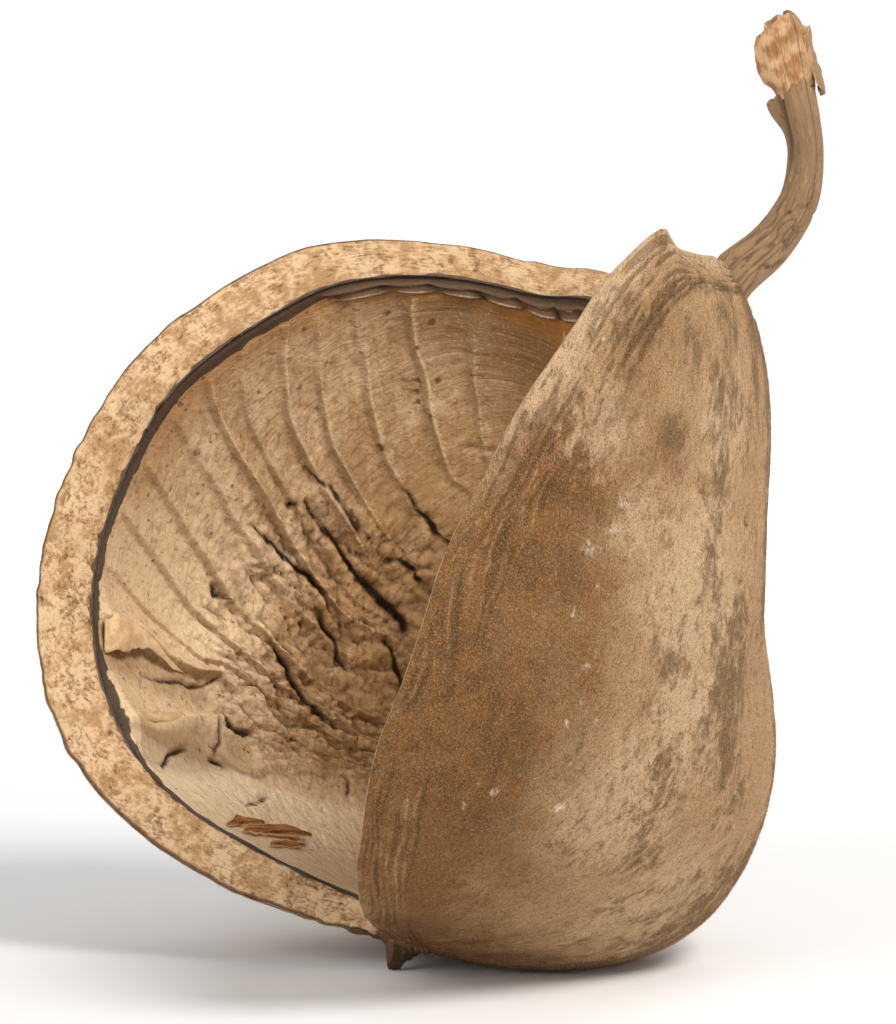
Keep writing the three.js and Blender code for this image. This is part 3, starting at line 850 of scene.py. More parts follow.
def skin_surface(part, turn, wrinkle_height):
    """Points of the finely wrinkled skin, with what its material reads."""
    u, r = base_skin(part, turn)
    rim = to_lip(part, turn, r)
    across = turn * 62.0
    # long wrinkles that follow the lip
    wander = 1.5 * noise(on_sheet(across, rim), (16, 8, 1), 3, 2)
    band = on_sheet(rim + wander, across)
    crown = smooth(np.cos(turn), 0.1, -0.7)
    phase = 2 * math.pi * band[..., 0] / 1.65 + 2.6 * noise(band, (4, 16, 1), 11, 2)
    lines = np.sin(phase) * (0.8 + 0.4 * noise(band, (3, 12, 1), 13))
    folds = 1 - 2.2 * np.abs(noise(band, (1.6, 13, 1), 17))
    crossed = 1 - 2.2 * np.abs(noise(band + across[..., None] * np.array([0.35, 0, 0]), (1.5, 9, 1), 23))
    strength = 0.85 + 0.3 * noise(band, (9, 26, 1), 29)
    reach = smooth(rim, 0.3, 1.4) * (1 - smooth(rim, 8 + 4 * crown, 14 + 8 * crown))
    knobs = noise(place(u, r), 1.5, 37, 2)
    wrinkle = (0.5 * lines + 0.5 * folds + (0.5 * crossed + 0.8 * knobs) * crown) * strength * reach
    r = r + wrinkle_height * wrinkle * (0.5 + 0.3 * crown)
    # the peak of the right valve's lip and the sloping shoulder behind it
    smooth_place = place(u, r)
    for centre, size, rise in zip(skin_places(CREST), CREST_WIDTHS, CREST_RISES):
        r = r + rise * bell(np.linalg.norm(smooth_place - centre, axis=-1), size)
    # slack folds that run from the stalk to the beak behind the widest part
    flank = smooth(-u[..., 2], -0.15, 0.35)
    side = np.arctan2(u[..., 0], -u[..., 2]) * 60
    run = on_sheet(side, u[..., 1] * 75)
    slack = noise(run, (7, 34, 1), 31, 2)
    r = r + 0.6 * slack * flank
    spot = place(u, r)
    pitted = noise(spot, 2.6, 41, 2)
    r = r + 0.07 * pitted
    # uneven outer edge of the lip
    edge = np.exp(-rim / 1.6)
    r = r + 0.28 * edge * noise(on_sheet(across, across * 0), (3.3, 1, 1), 51, 2)
    # the holes are dents, painted dark inside as shade
    hole = mark_field(spot, HOLES)
    r = r - 1.2 * hole
    points = place(u, r)
    points[..., 2] = np.maximum(points[..., 2], FLOOR)

    lean = np.abs(180 - turn / DEG)
    toward = 1 - smooth(rim, 12, 48)
    toward = toward * (1 - 0.7 * crown * bell(rim, 4))
    warm = toward * smooth(lean, 30, 85) * (0.6 + 0.4 * (1 - smooth(lean, 125, 175)))
    warm = warm + 0.3 * bell(rim - 11, 8) * smooth(lean, 30, 60)
    pale = mark_field(spot, PALE_PATCHES, 6)
    pale = pale + 0.8 * crown * bell(rim - 1.5, 4)
    dark = 0.75 * mark_field(spot, DARK_BLOTCHES, 9)
    dark = np.maximum(dark, 0.95 * smooth(slack, -0.1, 0.7) * flank)
    dark = dark + 0.4 * mark_field(spot, DARK_PATCHES, 8)
    dark = dark + 0.3 * bell(rim - 12, 6) * smooth(noise(band, (7, 22, 1), 61), -0.4, 0.7)
    pink = np.zeros(points.shape[:-1])
    for mark in PINK_MARKS:
        pink = np.maximum(pink, bell(line_distance(spot, skin_places(mark))[0], 0.8))
    beak = np.exp(-((angle_to(u, direction(BEAK_PLACE, 0.0)) / (7.5 * DEG)) ** 4))
    fields = {
        "flow": run,
        "warm": warm,
        "pale": pale,
        "dark": dark,
        # painted shade in the furrows of the wrinkles and painted highlight on their crests
        "furrow": smooth(-wrinkle, 0.0, 0.7) * reach,
        "crest": smooth(wrinkle, 0.1, 0.8) * reach,
        "white": mark_field(spot, WHITE_SPOTS, -7),
        "pink": pink,
        "beak": beak,
        "hole": smooth(hole, 0.3, 0.7),
        "edge": np.zeros(points.shape[:-1]),
    }
    return points, fields


def lip_edge_points(turn, depth):
    """Inner side of the wall at the lip, from the lip's inner edge down to the lining."""
    part = 1 - depth
    u = lining_direction(part, turn)
    return place(u, body_radius(u) - wall(part, turn))


def spaced(stations):
    """Stations in even steps between given ones: (start, end, steps), end left out."""
    return np.concatenate([np.linspace(a, b, n, endpoint=False) for a, b, n in stations])


class POD_OT_husk(bpy.types.Operator):
    """Builds the husk: its wrinkled felted skin, the cut face of the lip and the dark edge"""

    bl_idname = "seed_pod.husk"
    bl_label = "Husk"

    def execute(self, context):
        sizes = context.scene.pod_sizes
        turns = spaced([(0, 24, 44), (24, 180, 196), (180, 336, 196), (336, 360, 44)]) * DEG
        outer = np.append(spaced([(0.03, 0.5, 34), (0.5, 0.8, 36), (0.8, 0.93, 36), (0.93, 1, 34)]), 1.0)
        part, turn = np.meshgrid(outer, turns, indexing="ij")
        skin, fields = skin_surface(part, turn, sizes.wrinkle_height / MM)

        across = np.append(spaced([(0.03, 0.2, 5), (0.2, 0.85, 14), (0.85, 1, 4)]), 1.0)
        t, turn = np.meshgrid(across, turns, indexing="ij")
        inner = lip_edge_points(turns, 0.0)
        face = lerp(skin[-1][None], inner[None], t[..., None])
        lip = lip_angle(turns)
        forward = place(direction(lip + 0.01, turns), np.full(len(turns), 100.0))
        forward = unit(forward - place(direction(lip, turns), np.full(len(turns), 100.0)))
        run = on_sheet(turn * 62, t * 9)
        uneven = 1 + 0.5 * np.sin(31 * turn) * np.sin(17 * turn + 2)
        rise = (sizes.lip_bulge / MM) * uneven * 4 * t * (1 - t)
        rise = rise + 0.22 * noise(run, (4.5, 2.2, 1), 71, 3) * smooth(t, 0, 0.12) * smooth(1 - t, 0, 0.1)
        rise = rise - 0.35 * smooth(t, 0.9, 1) + 0.2 * bell(t - 0.02, 0.05)
        face = face + rise[..., None] * forward[None]
        lean = np.abs((turn / DEG + 180) % 360 - 180)
        outer = 0.03 + 0.03 * smooth(turn / DEG, 180, 200) + 0.06 * smooth(turn / DEG, 290, 330)
        inner_edge = smooth(t + 0.05 * noise(run, (1.8, 1, 1), 73, 2), 0.91, 0.99)
        edge = np.maximum(bell(t, outer), inner_edge * 1.1)
        dark_to = 0.62 * (1 - smooth(lean, 0.6, 3.6)) + 0.12 * (1 - smooth(lean, 3.6, 14))
        zero = np.zeros(t.shape)
        face_fields = {name: zero for name in fields}
        face_fields["flow"] = run
        face_fields["edge"] = edge
        face_fields["beak"] = (1 - smooth(t, dark_to - 0.1, dark_to + 0.04)) * smooth(dark_to, 0.02, 0.12)

        # the recessed dark edge, then the wall behind the lining
        depth = np.array([0.001, 0.003, 0.006, 0.009, 0.012, 0.018])
        d, turn = np.meshgrid(depth, turns, indexing="ij")
        ledge = lip_edge_points(turn, d)
        sunk = 0.8 * smooth(d, 0, 0.004) + 1.6 * smooth(d, 0.010, 0.018)
        ledge_run = on_sheet(turn * 62, d * 125)
        sunk = sunk + 0.2 * noise(ledge_run, (2.5, 1, 1), 81, 2)
        ledge = ledge + sunk[..., None] * unit(ledge - MIDDLE)
        hidden = np.array([0.94, 0.88, 0.8, 0.7, 0.6, 0.5, 0.4, 0.3, 0.2, 0.1, 0.04])
        p, turn2 = np.meshgrid(hidden, turns, indexing="ij")
        u = lining_direction(p, turn2)
        behind = place(u, body_radius(u) - wall(p, turn2) + 2.6)

        rings = np.concatenate([skin, face, ledge, behind])
        zero = np.zeros(ledge.shape[:2])
        ledge_fields = {name: zero for name in fields}
        ledge_fields["flow"] = ledge_run
        zero = np.zeros(behind.shape[:2])
        behind_fields = {name: zero for name in fields}
        behind_fields["flow"] = behind
        joined = {
            name: np.concatenate([fields[name], face_fields[name], ledge_fields[name], behind_fields[name]])
            for name in fields
        }
        rows, columns = rings.shape[:2]
        face_slots = [0] * columns
        for row in range(rows - 1):
            if row < len(skin) - 1:
                slot = 0
            elif row < len(skin) + len(face) - 2:
                slot = 1
            else:
                slot = 2
            face_slots += [slot] * columns
        face_slots += [2] * columns
        colours = context.scene.pod_colours
        piece = make_piece(
            "husk",
            closed_points(rings),
            closed_faces(rows, columns),
            [skin_finish(colours), lip_finish(colours), edge_finish(colours)],
            face_slots,
            ring_fields(**joined),
        )
        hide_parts("pod")
        return {"FINISHED"}


class POD_OT_fuzz(bpy.types.Operator):
    """Covers each valve's skin with short felted hairs, each a sliver of a triangle"""

    bl_idname = "seed_pod.fuzz"
    bl_label = "Fuzz"

    def execute(self, context):
        sizes = context.scene.pod_sizes
        tones = []
        for name, tint in HAIR_TONES.items():
            f = Finish(name, 0.8)
            f.paint(tone(*tint))
            tones.append(f.material)
        wrinkle = sizes.wrinkle_height / MM
        for valve, (low, high) in {"fuzz_right": (1, 179), "fuzz_left": (181, 359)}.items():
            rng = np.random.default_rng(7 + low)
            count = sizes.hair_count
            turn = rng.uniform(low, high, count) * DEG
            lip = lip_angle(turn)
            part = np.arccos(1 - rng.uniform(0.002, 0.999, count) * (1 - np.cos(lip))) / lip
            root, fields = skin_surface(part, turn, wrinkle)
            onward = skin_surface(part + 0.004, turn, wrinkle)[0] - root
            aside = skin_surface(part, turn + 0.006, wrinkle)[0] - root
            normal = unit(np.cross(aside, onward))
            normal *= np.sign((normal * (root - MIDDLE)).sum(-1, keepdims=True))
            onward = unit(onward)
            aside = np.cross(normal, onward)
            heading = 0.6 + 2.2 * noise(root, 5, 401, 2)[..., None] + rng.normal(0, 1.1, (count, 1))
            lay = onward * np.cos(heading) + aside * np.sin(heading)
            lift = np.clip(rng.normal(0.35, 0.22, (count, 1)), 0.05, 1.2)
            long = sizes.hair_length / MM * rng.uniform(0.5, 1.35, (count, 1))
            tip = root + (lay * np.cos(lift) + normal * np.sin(lift)) * long
            wide = 0.032 * rng.uniform(0.7, 1.3, (count, 1))
            across = np.cross(lay, normal)
            sunk = root - normal * 0.04
            points = np.stack([sunk + across * wide, sunk - across * wide, tip], 1).reshape(-1, 3)
            points[:, 2] = np.maximum(points[:, 2], FLOOR)
            faces = np.arange(3 * count).reshape(-1, 3).tolist()
            shade = rng.uniform(0, 1, count) + 0.35 * fields["warm"] + 0.4 * fields["dark"] + fields["beak"]
            slots = np.where(shade > 1.0, 0, np.where(shade > 0.35, 1, 2))
            make_piece(valve, points, faces, tones, slots.tolist(), None)
        return {"FINISHED"}


# The lining
def ridge_turns(part, left):
    """Turns from the stalk, in degrees, of every ridge at each part: parts by ridges."""
    part = np.asarray(part, float)
    columns = []
    for k, degrees in enumerate(RIDGE_TURNS):
        if left and k in TORN_TURNS:
            columns.append(np.interp(part, TORN_PARTS, TORN_TURNS[k]))
            continue
        here = degrees + (0 if left else 1.2 * math.sin(2 * k))
        inward = np.minimum(1 - part, 0.45 + 0.25 * (0.55 - part))
        bent = here + np.interp(here, *RIDGE_BEND) * inward ** (1.2 - 0.2 * smooth(here, 30, 40))
        if left:
            bent = np.minimum(bent, np.interp(part, TORN_PARTS, TORN_TURNS[14]) - 3.0 * (14 - k))
        columns.append(bent)
    return np.stack(columns, -1)


def ridge_height(k, left, part, sizes):
    if k < 0 or k >= len(RIDGE_TURNS):
        return part * 0
    end = 0.953 if RIDGE_TURNS[k] < 39 else 0.976
    reach = smooth(part, 0.38, 0.62) * (1 - smooth(part, end - 0.02, end + 0.006))
    reach = reach * (0.6 + 0.4 * bell(part - 0.7, 0.14))
    if left and k in TORN_TURNS:
        ragged = 1 + 0.18 * np.sin(48 * part + 2 * k)
        torn = smooth(part, 0.66, 0.8) * (1 - smooth(part, 0.972, 0.99))
        return (sizes.torn_height / MM) * ragged * torn
    return (sizes.ridge_height / MM) * (1 + 0.25 * math.sin(3.7 * k)) * reach


def lining_columns(step):
    """Columns of one valve's lining: ridge number and share of the way to the next ridge."""
    stops = [0, *RIDGE_TURNS, 180]
    columns = []
    for k in range(-1, len(RIDGE_TURNS)):
        gap = stops[k + 2] - stops[k + 1]
        count = max(7, round(gap / step))
        foot = max(3, round(count * 0.3))
        columns += [(k, f) for f in np.linspace(0, RIDGE_FOOT * 1.3, foot, endpoint=False)]
        columns += [(k, f) for f in np.linspace(RIDGE_FOOT * 1.3, 1, count - foot, endpoint=False)]
    return columns


def lining_half(parts, left, step, sizes):
    """Real turns, sheet relief, the painted highlight of the crests and the painted shade at the feet of one
    valve's lining.
    """
    columns = lining_columns(step)
    ridges = ridge_turns(parts, left)
    edges = np.concatenate([np.zeros((len(parts), 1)), ridges, np.full((len(parts), 1), 180.0)], 1)
    turns, sheets, crest_highlights, foot_shades = [], [], [], []
    for k, f in columns:
        # ridges wander a little on their way in
        sway = 0.35 * np.sin(21 * parts + 5.1 * k) + 0.12 * np.sin(53 * parts + 2.3 * k)
        sway = sway * smooth(parts, 0.2, 0.6) * (1 if 0 <= k < 15 else 0.5)
        turns.append(lerp(edges[:, k + 1], edges[:, k + 2], f) + sway * (1 - f) * (k >= 0))
        here, after = ridge_height(k, left, parts, sizes), ridge_height(k + 1, left, parts, sizes)
        if f < RIDGE_FOOT:
            sheet = here * (1 - smooth(np.array(f), 0, RIDGE_FOOT))
        else:
            sheet = after * ((f - RIDGE_FOOT) / (1 - RIDGE_FOOT)) ** 1.7
        # painted highlight on each crest and painted shade at its foot
        crest = (here * bell(f, 0.03) + after * bell(1 - f, 0.09)) / (sizes.ridge_height / MM)
        sheets.append(sheet)
        crest_highlights.append(np.clip(crest, 0, 1.3))
        foot_shades.append(here * bell(f - 0.6 * RIDGE_FOOT, 0.6 * RIDGE_FOOT) / (sizes.ridge_height / MM))
    return [np.stack(rows, -1) for rows in (turns, sheets, crest_highlights, foot_shades)]


def seed_scars(part, turn, height):
    """Relief of the seed scars under the lip, the scars themselves, their pale rims and a painted glint on
    each.
    """
    from_stalk = np.abs(180 - turn / DEG)
    ends = np.array(SCAR_TURNS)
    k = np.clip(np.searchsorted(ends, from_stalk) - 1, 0, len(ends) - 2)
    f = (from_stalk - ends[k]) / (ends[k + 1] - ends[k])
    inside = (f > 0) & (f < 1)
    swell = np.where(inside, np.sin(math.pi * np.clip(f, 0, 1)) ** 0.35, 0)
    along = smooth(part, 0.953, 0.959) * (1 - smooth(part, 0.982, 0.988))
    relief = height * along * swell * (1 - 0.5 * bell(part - 0.972, 0.01))
    low = 0.9 * bell(part - 0.9615, 0.003) * swell
    # a painted highlight on each scar
    glint = 1.1 * bell(part - 0.978, 0.004) * bell(f - 0.45, 0.22) * inside
    return relief, along * np.where(inside, 1 + 0.5 * (1 - swell), 0), np.maximum(low, glint)


def crumpled(part, turn, u, sizes):
    """Height of the crumpled fibres and how deep each place lies in a crease, which is painted dark as shade.
    """
    left = turn > math.pi
    degrees = np.where(left, turn, 2 * math.pi - turn) / DEG
    spot = u * 58
    floor = smooth(degrees + 3 * noise(spot, 9, 171, 2), 296, 305)
    low = smooth(degrees, 236, 262)
    amount = (1 - smooth(part, lerp(0.40, 0.66, low), lerp(0.68, 0.92, low))) * (1 - 0.75 * floor)
    amount = amount * lerp(0.45, 1.0, smooth(degrees, 228, 252))
    base = 0.8 * np.sin(13 * u[..., 0] + 5 * u[..., 1]) * np.sin(11 * u[..., 1] - 6 * u[..., 0] + 2)
    base = base + 0.5 * np.sin(21 * u[..., 1] + 9 * u[..., 0] + 4 * np.sin(6 * u[..., 0]))
    warp = np.stack([noise(spot + 40 * n, 6, 91 + n, 2) for n in range(3)], -1) * 1.9
    from_stalk = degrees - 180
    inward = np.minimum(1 - part, 0.45 + 0.25 * (0.55 - part))
    along_ridge = from_stalk - np.interp(from_stalk, [0, 60, 110, 150], [50, 78, 70, 20]) * inward
    run = on_sheet(along_ridge * DEG * 46, part * 115) + warp
    puffs, number = lumps(run / np.array([3.4, 9.0, 1]) * np.array([1, 1, 0]) + np.array([0, 0, 0.5]), 1.0, 7)
    small, _ = lumps((spot + warp) / 2.1, 1.0, 17)
    height = (puffs - 0.6) * 1.15 + (small - 0.6) * 0.8 + 0.7 * noise(spot, 9, 101, 2)
    height = height + 0.45 * (number - 0.5)
    fine = noise(spot, 1.2, 111, 2)
    h = amount * (0.75 * base + (sizes.crumple_height / MM) * height) + 0.1 * fine * (0.35 + amount)
    crease = amount * np.maximum(1.1 - puffs * 2.0, 0.9 - small * 1.9) + 0.15 * amount * fine
    return h, np.clip(crease, 0, 1), floor


class POD_OT_lining(bpy.types.Operator):
    """Builds the papery lining with its ridges, crumples, cracks and seed scars"""

    bl_idname = "seed_pod.lining"
    bl_label = "Lining"

    def execute(self, context):
        sizes = context.scene.pod_sizes
        parts = spaced([(0.992, 0.945, 22), (0.945, 0.45, 132), (0.45, 0.12, 31), (0.12, 0.02, 5)])
        halves = {}
        for left, step in ((False, 1.9), (True, 0.58)):
            halves[left] = lining_half(parts, left, step, sizes)
        right = [rows[:, ::-1] for rows in halves[False]]
        turn = np.concatenate([180 - right[0], 180 + halves[True][0]], 1) * DEG
        # crest is a painted highlight and foot a painted shade
        sheet, crest, foot = (np.concatenate([right[n], halves[True][n]], 1) for n in range(1, 4))
        part = np.broadcast_to(parts[:, None], turn.shape)
        u = lining_direction(part, turn)
        crumple, crease, floor = crumpled(part, turn, u, sizes)
        scar_relief, scar, scar_rim = seed_scars(part, turn, sizes.pad_height / MM)
        height = sheet + crumple + scar_relief
        base = place(u, body_radius(u) - wall(part, turn))
        run = on_sheet((math.pi + np.abs(turn - math.pi)) * 50, part * 115)
        # fine wrinkles across the ridges
        crosswise = noise(run + 0.8 * noise(run, 5, 121)[..., None], (9, 1.7, 1), 131, 2)
        height = height + 0.13 * crosswise * smooth(part, 0.5, 0.7) * (1 - smooth(part, 0.9, 0.97))
        height = height + 0.25 * noise(run, (7, 16, 1), 141, 2)

        jag = np.stack([noise(base + 31 * n, 2.8, 151 + n, 2) for n in range(3)], -1) * 0.5
        outward = u @ AXES
        torn = base + jag - (jag * outward).sum(-1, keepdims=True) * outward
        crack = np.zeros(turn.shape)
        for line, width, depth in CRACKS:
            distance, along = line_distance(torn, drawn(line))
            taper = 0.45 + 0.55 * np.sin(math.pi * np.clip(along, 0.02, 0.98)) ** 0.5
            depth_here = depth * taper * bell(distance, width)
            height = height - depth_here + 0.12 * depth * bell(distance - 2.0 * width, 0.8)
            # the cracks are painted dark, as shade in them
            crack = np.maximum(crack, taper * bell(distance, width) * min(1, depth / 1.2))
        speck = bell(np.linalg.norm(torn - lining_places([PALE_SPECK])[0], axis=-1), 1.1)
        height = height + 0.7 * speck
        stain = np.zeros(turn.shape)
        for p, t, size in STAINS:
            for side in (t, 360 - t + 4):
                centre = lining_places([(p, side)])[0]
                stain = np.maximum(stain, bell(np.linalg.norm(torn - centre, axis=-1), 1.3 * size))
        # the step down onto the floor of the bowl
        distance, _ = line_distance(torn, drawn(FLOOR_FOLD))
        height = height + 1.2 * bell(distance, 1.3)
        # painted shade at the foot of the step onto the floor
        crease = np.maximum(crease, 0.8 * bell(distance - 1.8, 0.7) * floor)
        height = np.maximum(height, DEEPEST_RELIEF)

        top = place(u, body_radius(u) - wall(part, turn) - height)
        # the edge is tucked in under the lip
        tuck = smooth(part, 0.984, 0.992)
        top = lerp(top, place(u, body_radius(u) - wall(part, turn) + 0.7), tuck[..., None])
        under_rows = np.linspace(0, len(parts) - 1, 20).astype(int)
        under = place(u, body_radius(u) - wall(part, turn) + 3.2)[under_rows]
        rings = np.concatenate([top[::-1], under])
        rows, columns = rings.shape[:2]

        lean = np.abs(180 - turn / DEG)
        under_lip = smooth(part, 0.86, 0.975)
        orange = 0.75 * under_lip * (1 - smooth(lean, 55, 120)) + 0.8 * under_lip * (1 - smooth(lean, 14, 34))
        orange = orange + 0.7 * (1 - smooth(lean, 8, 36)) * smooth(part, 0.62, 0.85)
        dark_from = 0.981 - 0.012 * (1 - smooth(lean, 50, 80))
        degrees = np.where(turn > math.pi, turn, 2 * math.pi - turn) / DEG
        # painted shadow under the torn flaps
        flap_shadow = smooth(degrees, 284, 288) * (1 - smooth(degrees, 292, 300)) + bell(degrees - 306, 4)
        flap_shadow = np.clip(flap_shadow, 0, 1)
        # paler floor and lower left wall: partly the lining's own tone, partly painted light; kept down under
        # the flaps as painted shadow
        cream = 0.8 * smooth(degrees, 250, 280) * smooth(part, 0.6, 0.8) * (1 - 0.8 * flap_shadow)
        cream = cream + 1.3 * floor * smooth(degrees, 303, 310) * smooth(part, 0.15, 0.5)
        cream = cream + 0.35 * bell(part - 0.75, 0.1) * smooth(degrees, 240, 262)
        # painted shade: darker deep in the bowl, less on its floor, and near the stalk under the right valve
        deep = (1 - smooth(part, 0.42, 0.75)) * (1 - 0.8 * floor)
        deep = deep + 0.9 * (1 - smooth(lean, 14, 50)) * smooth(part, 0.4, 0.7)
        # painted shade under the right valve and under the torn flaps
        shade = (1 - smooth(lean, 22, 54)) * smooth(part, 0.35, 0.65)
        shade = shade + 0.5 * flap_shadow * smooth(part, 0.7, 0.8)
        fields = {
            "flow": run,
            "crest": crest,
            "crease": crease,
            "crack": crack,
            "shade": shade,
            "stain": stain,
            "speck": speck,
            "orange": orange,
            "cream": cream,
            "deep": deep,
            "scar": scar,
            "scar_rim": scar_rim,
            "edge": smooth(part + 0.0035 * noise(run, (1.9, 1, 1), 161, 3), dark_from, dark_from + 0.003),
            "foot": foot,
        }
        joined = {}
        for name, values in fields.items():
            joined[name] = np.concatenate([values[::-1], values[under_rows]])
        make_piece(
            "lining",
            closed_points(rings),
            closed_faces(rows, columns),
            [lining_finish(context.scene.pod_colours)],
            None,
            ring_fields(**joined),
        )
        return {"FINISHED"}


# Torn flaps and slivers of the lining
def sheet_piece(name, points, thickness, material, fields):
    """A thin sheet with thickness from a grid of points."""
    rows, columns = points.shape[:2]
    normals = unit(np.cross(np.gradient(points, axis=0), np.gradient(points, axis=1)))
    back = points - normals * thickness
    front_index = np.arange(rows * columns).reshape(rows, columns)
    back_index = front_index + rows * columns
    a, b, c, d = front_index[:-1, :-1], front_index[1:, :-1], front_index[1:, 1:], front_index[:-1, 1:]
    faces = np.stack([a, b, c, d], -1).reshape(-1, 4).tolist()
    a, b, c, d = back_index[:-1, :-1], back_index[1:, :-1], back_index[1:, 1:], back_index[:-1, 1:]
    faces += np.stack([d, c, b, a], -1).reshape(-1, 4).tolist()
    rim = (
        [(i, 0) for i in range(rows)]
        + [(rows - 1, j) for j in range(1, columns)]
        + [(i, columns - 1) for i in range(rows - 2, -1, -1)]
        + [(0, j) for j in range(columns - 2, 0, -1)]
    )
    for (i, j), (k, m) in zip(rim, rim[1:] + rim[:1]):
        f, g = int(front_index[i, j]), int(front_index[k, m])
        faces.append([g, f, f + rows * columns, g + rows * columns])
    both = {}
    for key, values in fields.items():
        flat = values.reshape(-1, 3) if values.ndim == 3 else values.reshape(-1)
        both[key] = np.concatenate([flat, flat])
    joined = np.concatenate([points.reshape(-1, 3), back.reshape(-1, 3)])
    return make_piece(name, joined, faces, [material], None, both)


# Torn flaps: fold line and free edge by part and turn, with their heights over the lining
FLAPS = {
    "torn_flap_upper": (
        [(0.978, 283.0), (0.94, 283.0), (0.901, 283.1), (0.846, 285.0), (0.78, 287.0)],
        [(0.978, 291.0), (0.94, 289.6), (0.89, 287.6), (0.842, 287.6), (0.78, 287.8)],
        2.2, 1.9,
    ),
    "torn_flap_lower": (
        [(0.978, 303.6), (0.93, 301.4), (0.88, 299.2), (0.83, 296.6), (0.765, 293.8)],
        [(0.978, 305.6), (0.93, 303.4), (0.88, 301.2), (0.83, 299.0), (0.765, 297.0)],
        2.3, 2.0,
    ),
}


class POD_OT_flaps(bpy.types.Operator):
    """Builds the torn flaps and curled slivers that stand off the lining"""

    bl_idname = "seed_pod.flaps"
    bl_label = "Flaps and slivers"

    def execute(self, context):
        material = flap_finish(context.scene.pod_colours)
        for seed, (name, (fold, free, high, low)) in enumerate(FLAPS.items()):
            along = np.linspace(0, 1, 46)
            stations = np.linspace(0, 1, len(fold))
            root = on_line(along, stations, fold)
            edge = on_line(along, stations, free)
            stand = smooth(along, -0.03, 0.12) * (1 - 0.95 * smooth(along, 0.55, 1.0))
            seat = lining_places(root, high * stand - 0.15)
            tip = lining_places(edge, low * stand - 0.1)
            across = np.linspace(0, 1, 12)
            grid = lerp(seat[:, None], tip[:, None], across[None, :, None])
            ragged = noise(on_sheet(along * 30, along * 0), (4.0, 1, 1), 201 + seed, 3)
            reach = 1 + 0.32 * ragged[:, None, None] * across[None, :, None] ** 2
            grid = seat[:, None] + (grid - seat[:, None]) * reach
            inward = unit(MIDDLE - grid)
            curl = 0.4 * np.sin(across * math.pi)[None, :] + 0.18 * noise(grid, 4.5, 211 + seed, 1)
            grid = grid + inward * curl[..., None]
            root_field = np.broadcast_to(1 - across[None, :], curl.shape)
            sheet_piece(name, grid, 0.22, material, {"root": root_field * 0.6})
        rust = sliver_finish()
        for seed, (name, line, width, lift) in enumerate(SLIVERS):
            along = np.linspace(0, 1, 30)
            stations = np.linspace(0, 1, len(line))
            spine = lining_places(on_line(along, stations, line), lift)
            run = np.gradient(spine, axis=0)
            inward = MIDDLE - spine
            side = unit(np.cross(run, inward))
            inward = unit(inward)
            shape = np.sin(math.pi * np.clip(along, 0.04, 0.97)) ** 0.45
            across = np.linspace(-1, 1, 11)
            half = 0.5 * width * shape * (1 + 0.55 * noise(spine, 1.8, 221 + seed, 3))
            grid = spine[:, None] + side[:, None] * (half[:, None] * across[None])[..., None]
            layers = 0.12 * width * np.sign(np.sin(2.6 * across[None] + 1 + seed)) * shape[:, None]
            arch = layers * 0.5 + 0.12 * noise(grid, (2.0, 2.0, 2.0), 231 + seed)
            grid = grid + inward[:, None] * arch[..., None]
            rim = np.broadcast_to(smooth(np.abs(across)[None], 0.55, 0.95), arch.shape)
            flow = np.stack([along[:, None] * 10 + across * 0, across[None] * half[:, None], arch * 0], -1)
            sheet_piece(name, grid, 0.35, rust, {"rim": rim, "flow": flow})
        return {"FINISHED"}


# The stalk
def stalk_line():
    """Points of the stalk's middle line at even steps, and its directions."""
    u = direction(SEAT_BACK, math.pi)
    part = SEAT_BACK / lip_angle(math.pi)
    _, r = base_skin(np.array(part), np.array(math.pi))
    seat = place(u, r + SEAT_GAP)
    rest = np.array(STALK_LINE, float) + np.array([MIDDLE[0], MIDDLE[1], 0])
    knots = np.concatenate([[seat], rest])
    knots = np.concatenate([[2 * knots[0] - knots[1]], knots, [2 * knots[-1] - knots[-2]]])
    line = []
    for k in range(1, len(knots) - 2):
        p0, p1, p2, p3 = knots[k - 1 : k + 3]
        d0, d1, d2 = (np.linalg.norm(b - a) ** 0.5 for a, b in ((p0, p1), (p1, p2), (p2, p3)))
        m1 = ((p1 - p0) / d0 - (p2 - p0) / (d0 + d1) + (p2 - p1) / d1) * d1
        m2 = ((p2 - p1) / d1 - (p3 - p1) / (d1 + d2) + (p3 - p2) / d2) * d1
        for t in np.linspace(0, 1, 120, endpoint=False):
            line.append(
                p1 * (2 * t**3 - 3 * t**2 + 1) + m1 * (t**3 - 2 * t**2 + t)
                + p2 * (3 * t**2 - 2 * t**3) + m2 * (t**3 - t**2)
            )
    line.append(knots[-2])
    return np.array(line)


def tube_points(s, angle, radius):
    """Points of the stalk: across is +X, up is square to it and to the line."""
    line = stalk_line()
    walked = np.concatenate([[0], np.cumsum(np.linalg.norm(np.diff(line, axis=0), axis=1))])
    walked /= walked[-1]
    clipped = np.clip(s, 0, 1)
    centre = on_line(clipped, walked, line)
    step = 1e-3
    ahead = on_line(np.clip(clipped + step, 0, 1), walked, line)
    behind = on_line(np.clip(clipped - step, 0, 1), walked, line)
    tangent = unit(ahead - behind)
    across = np.array([1.0, 0, 0])
    up = np.cross(np.broadcast_to(across, tangent.shape), tangent)
    centre = centre + tangent * np.maximum(0, s - 1)[..., None] * 60
    centre = centre + across * (radius * np.cos(angle))[..., None]
    return centre + up * (radius * np.sin(angle))[..., None]


def angle_gap(a, b):
    return np.arctan2(np.sin(a - b), np.cos(a - b))


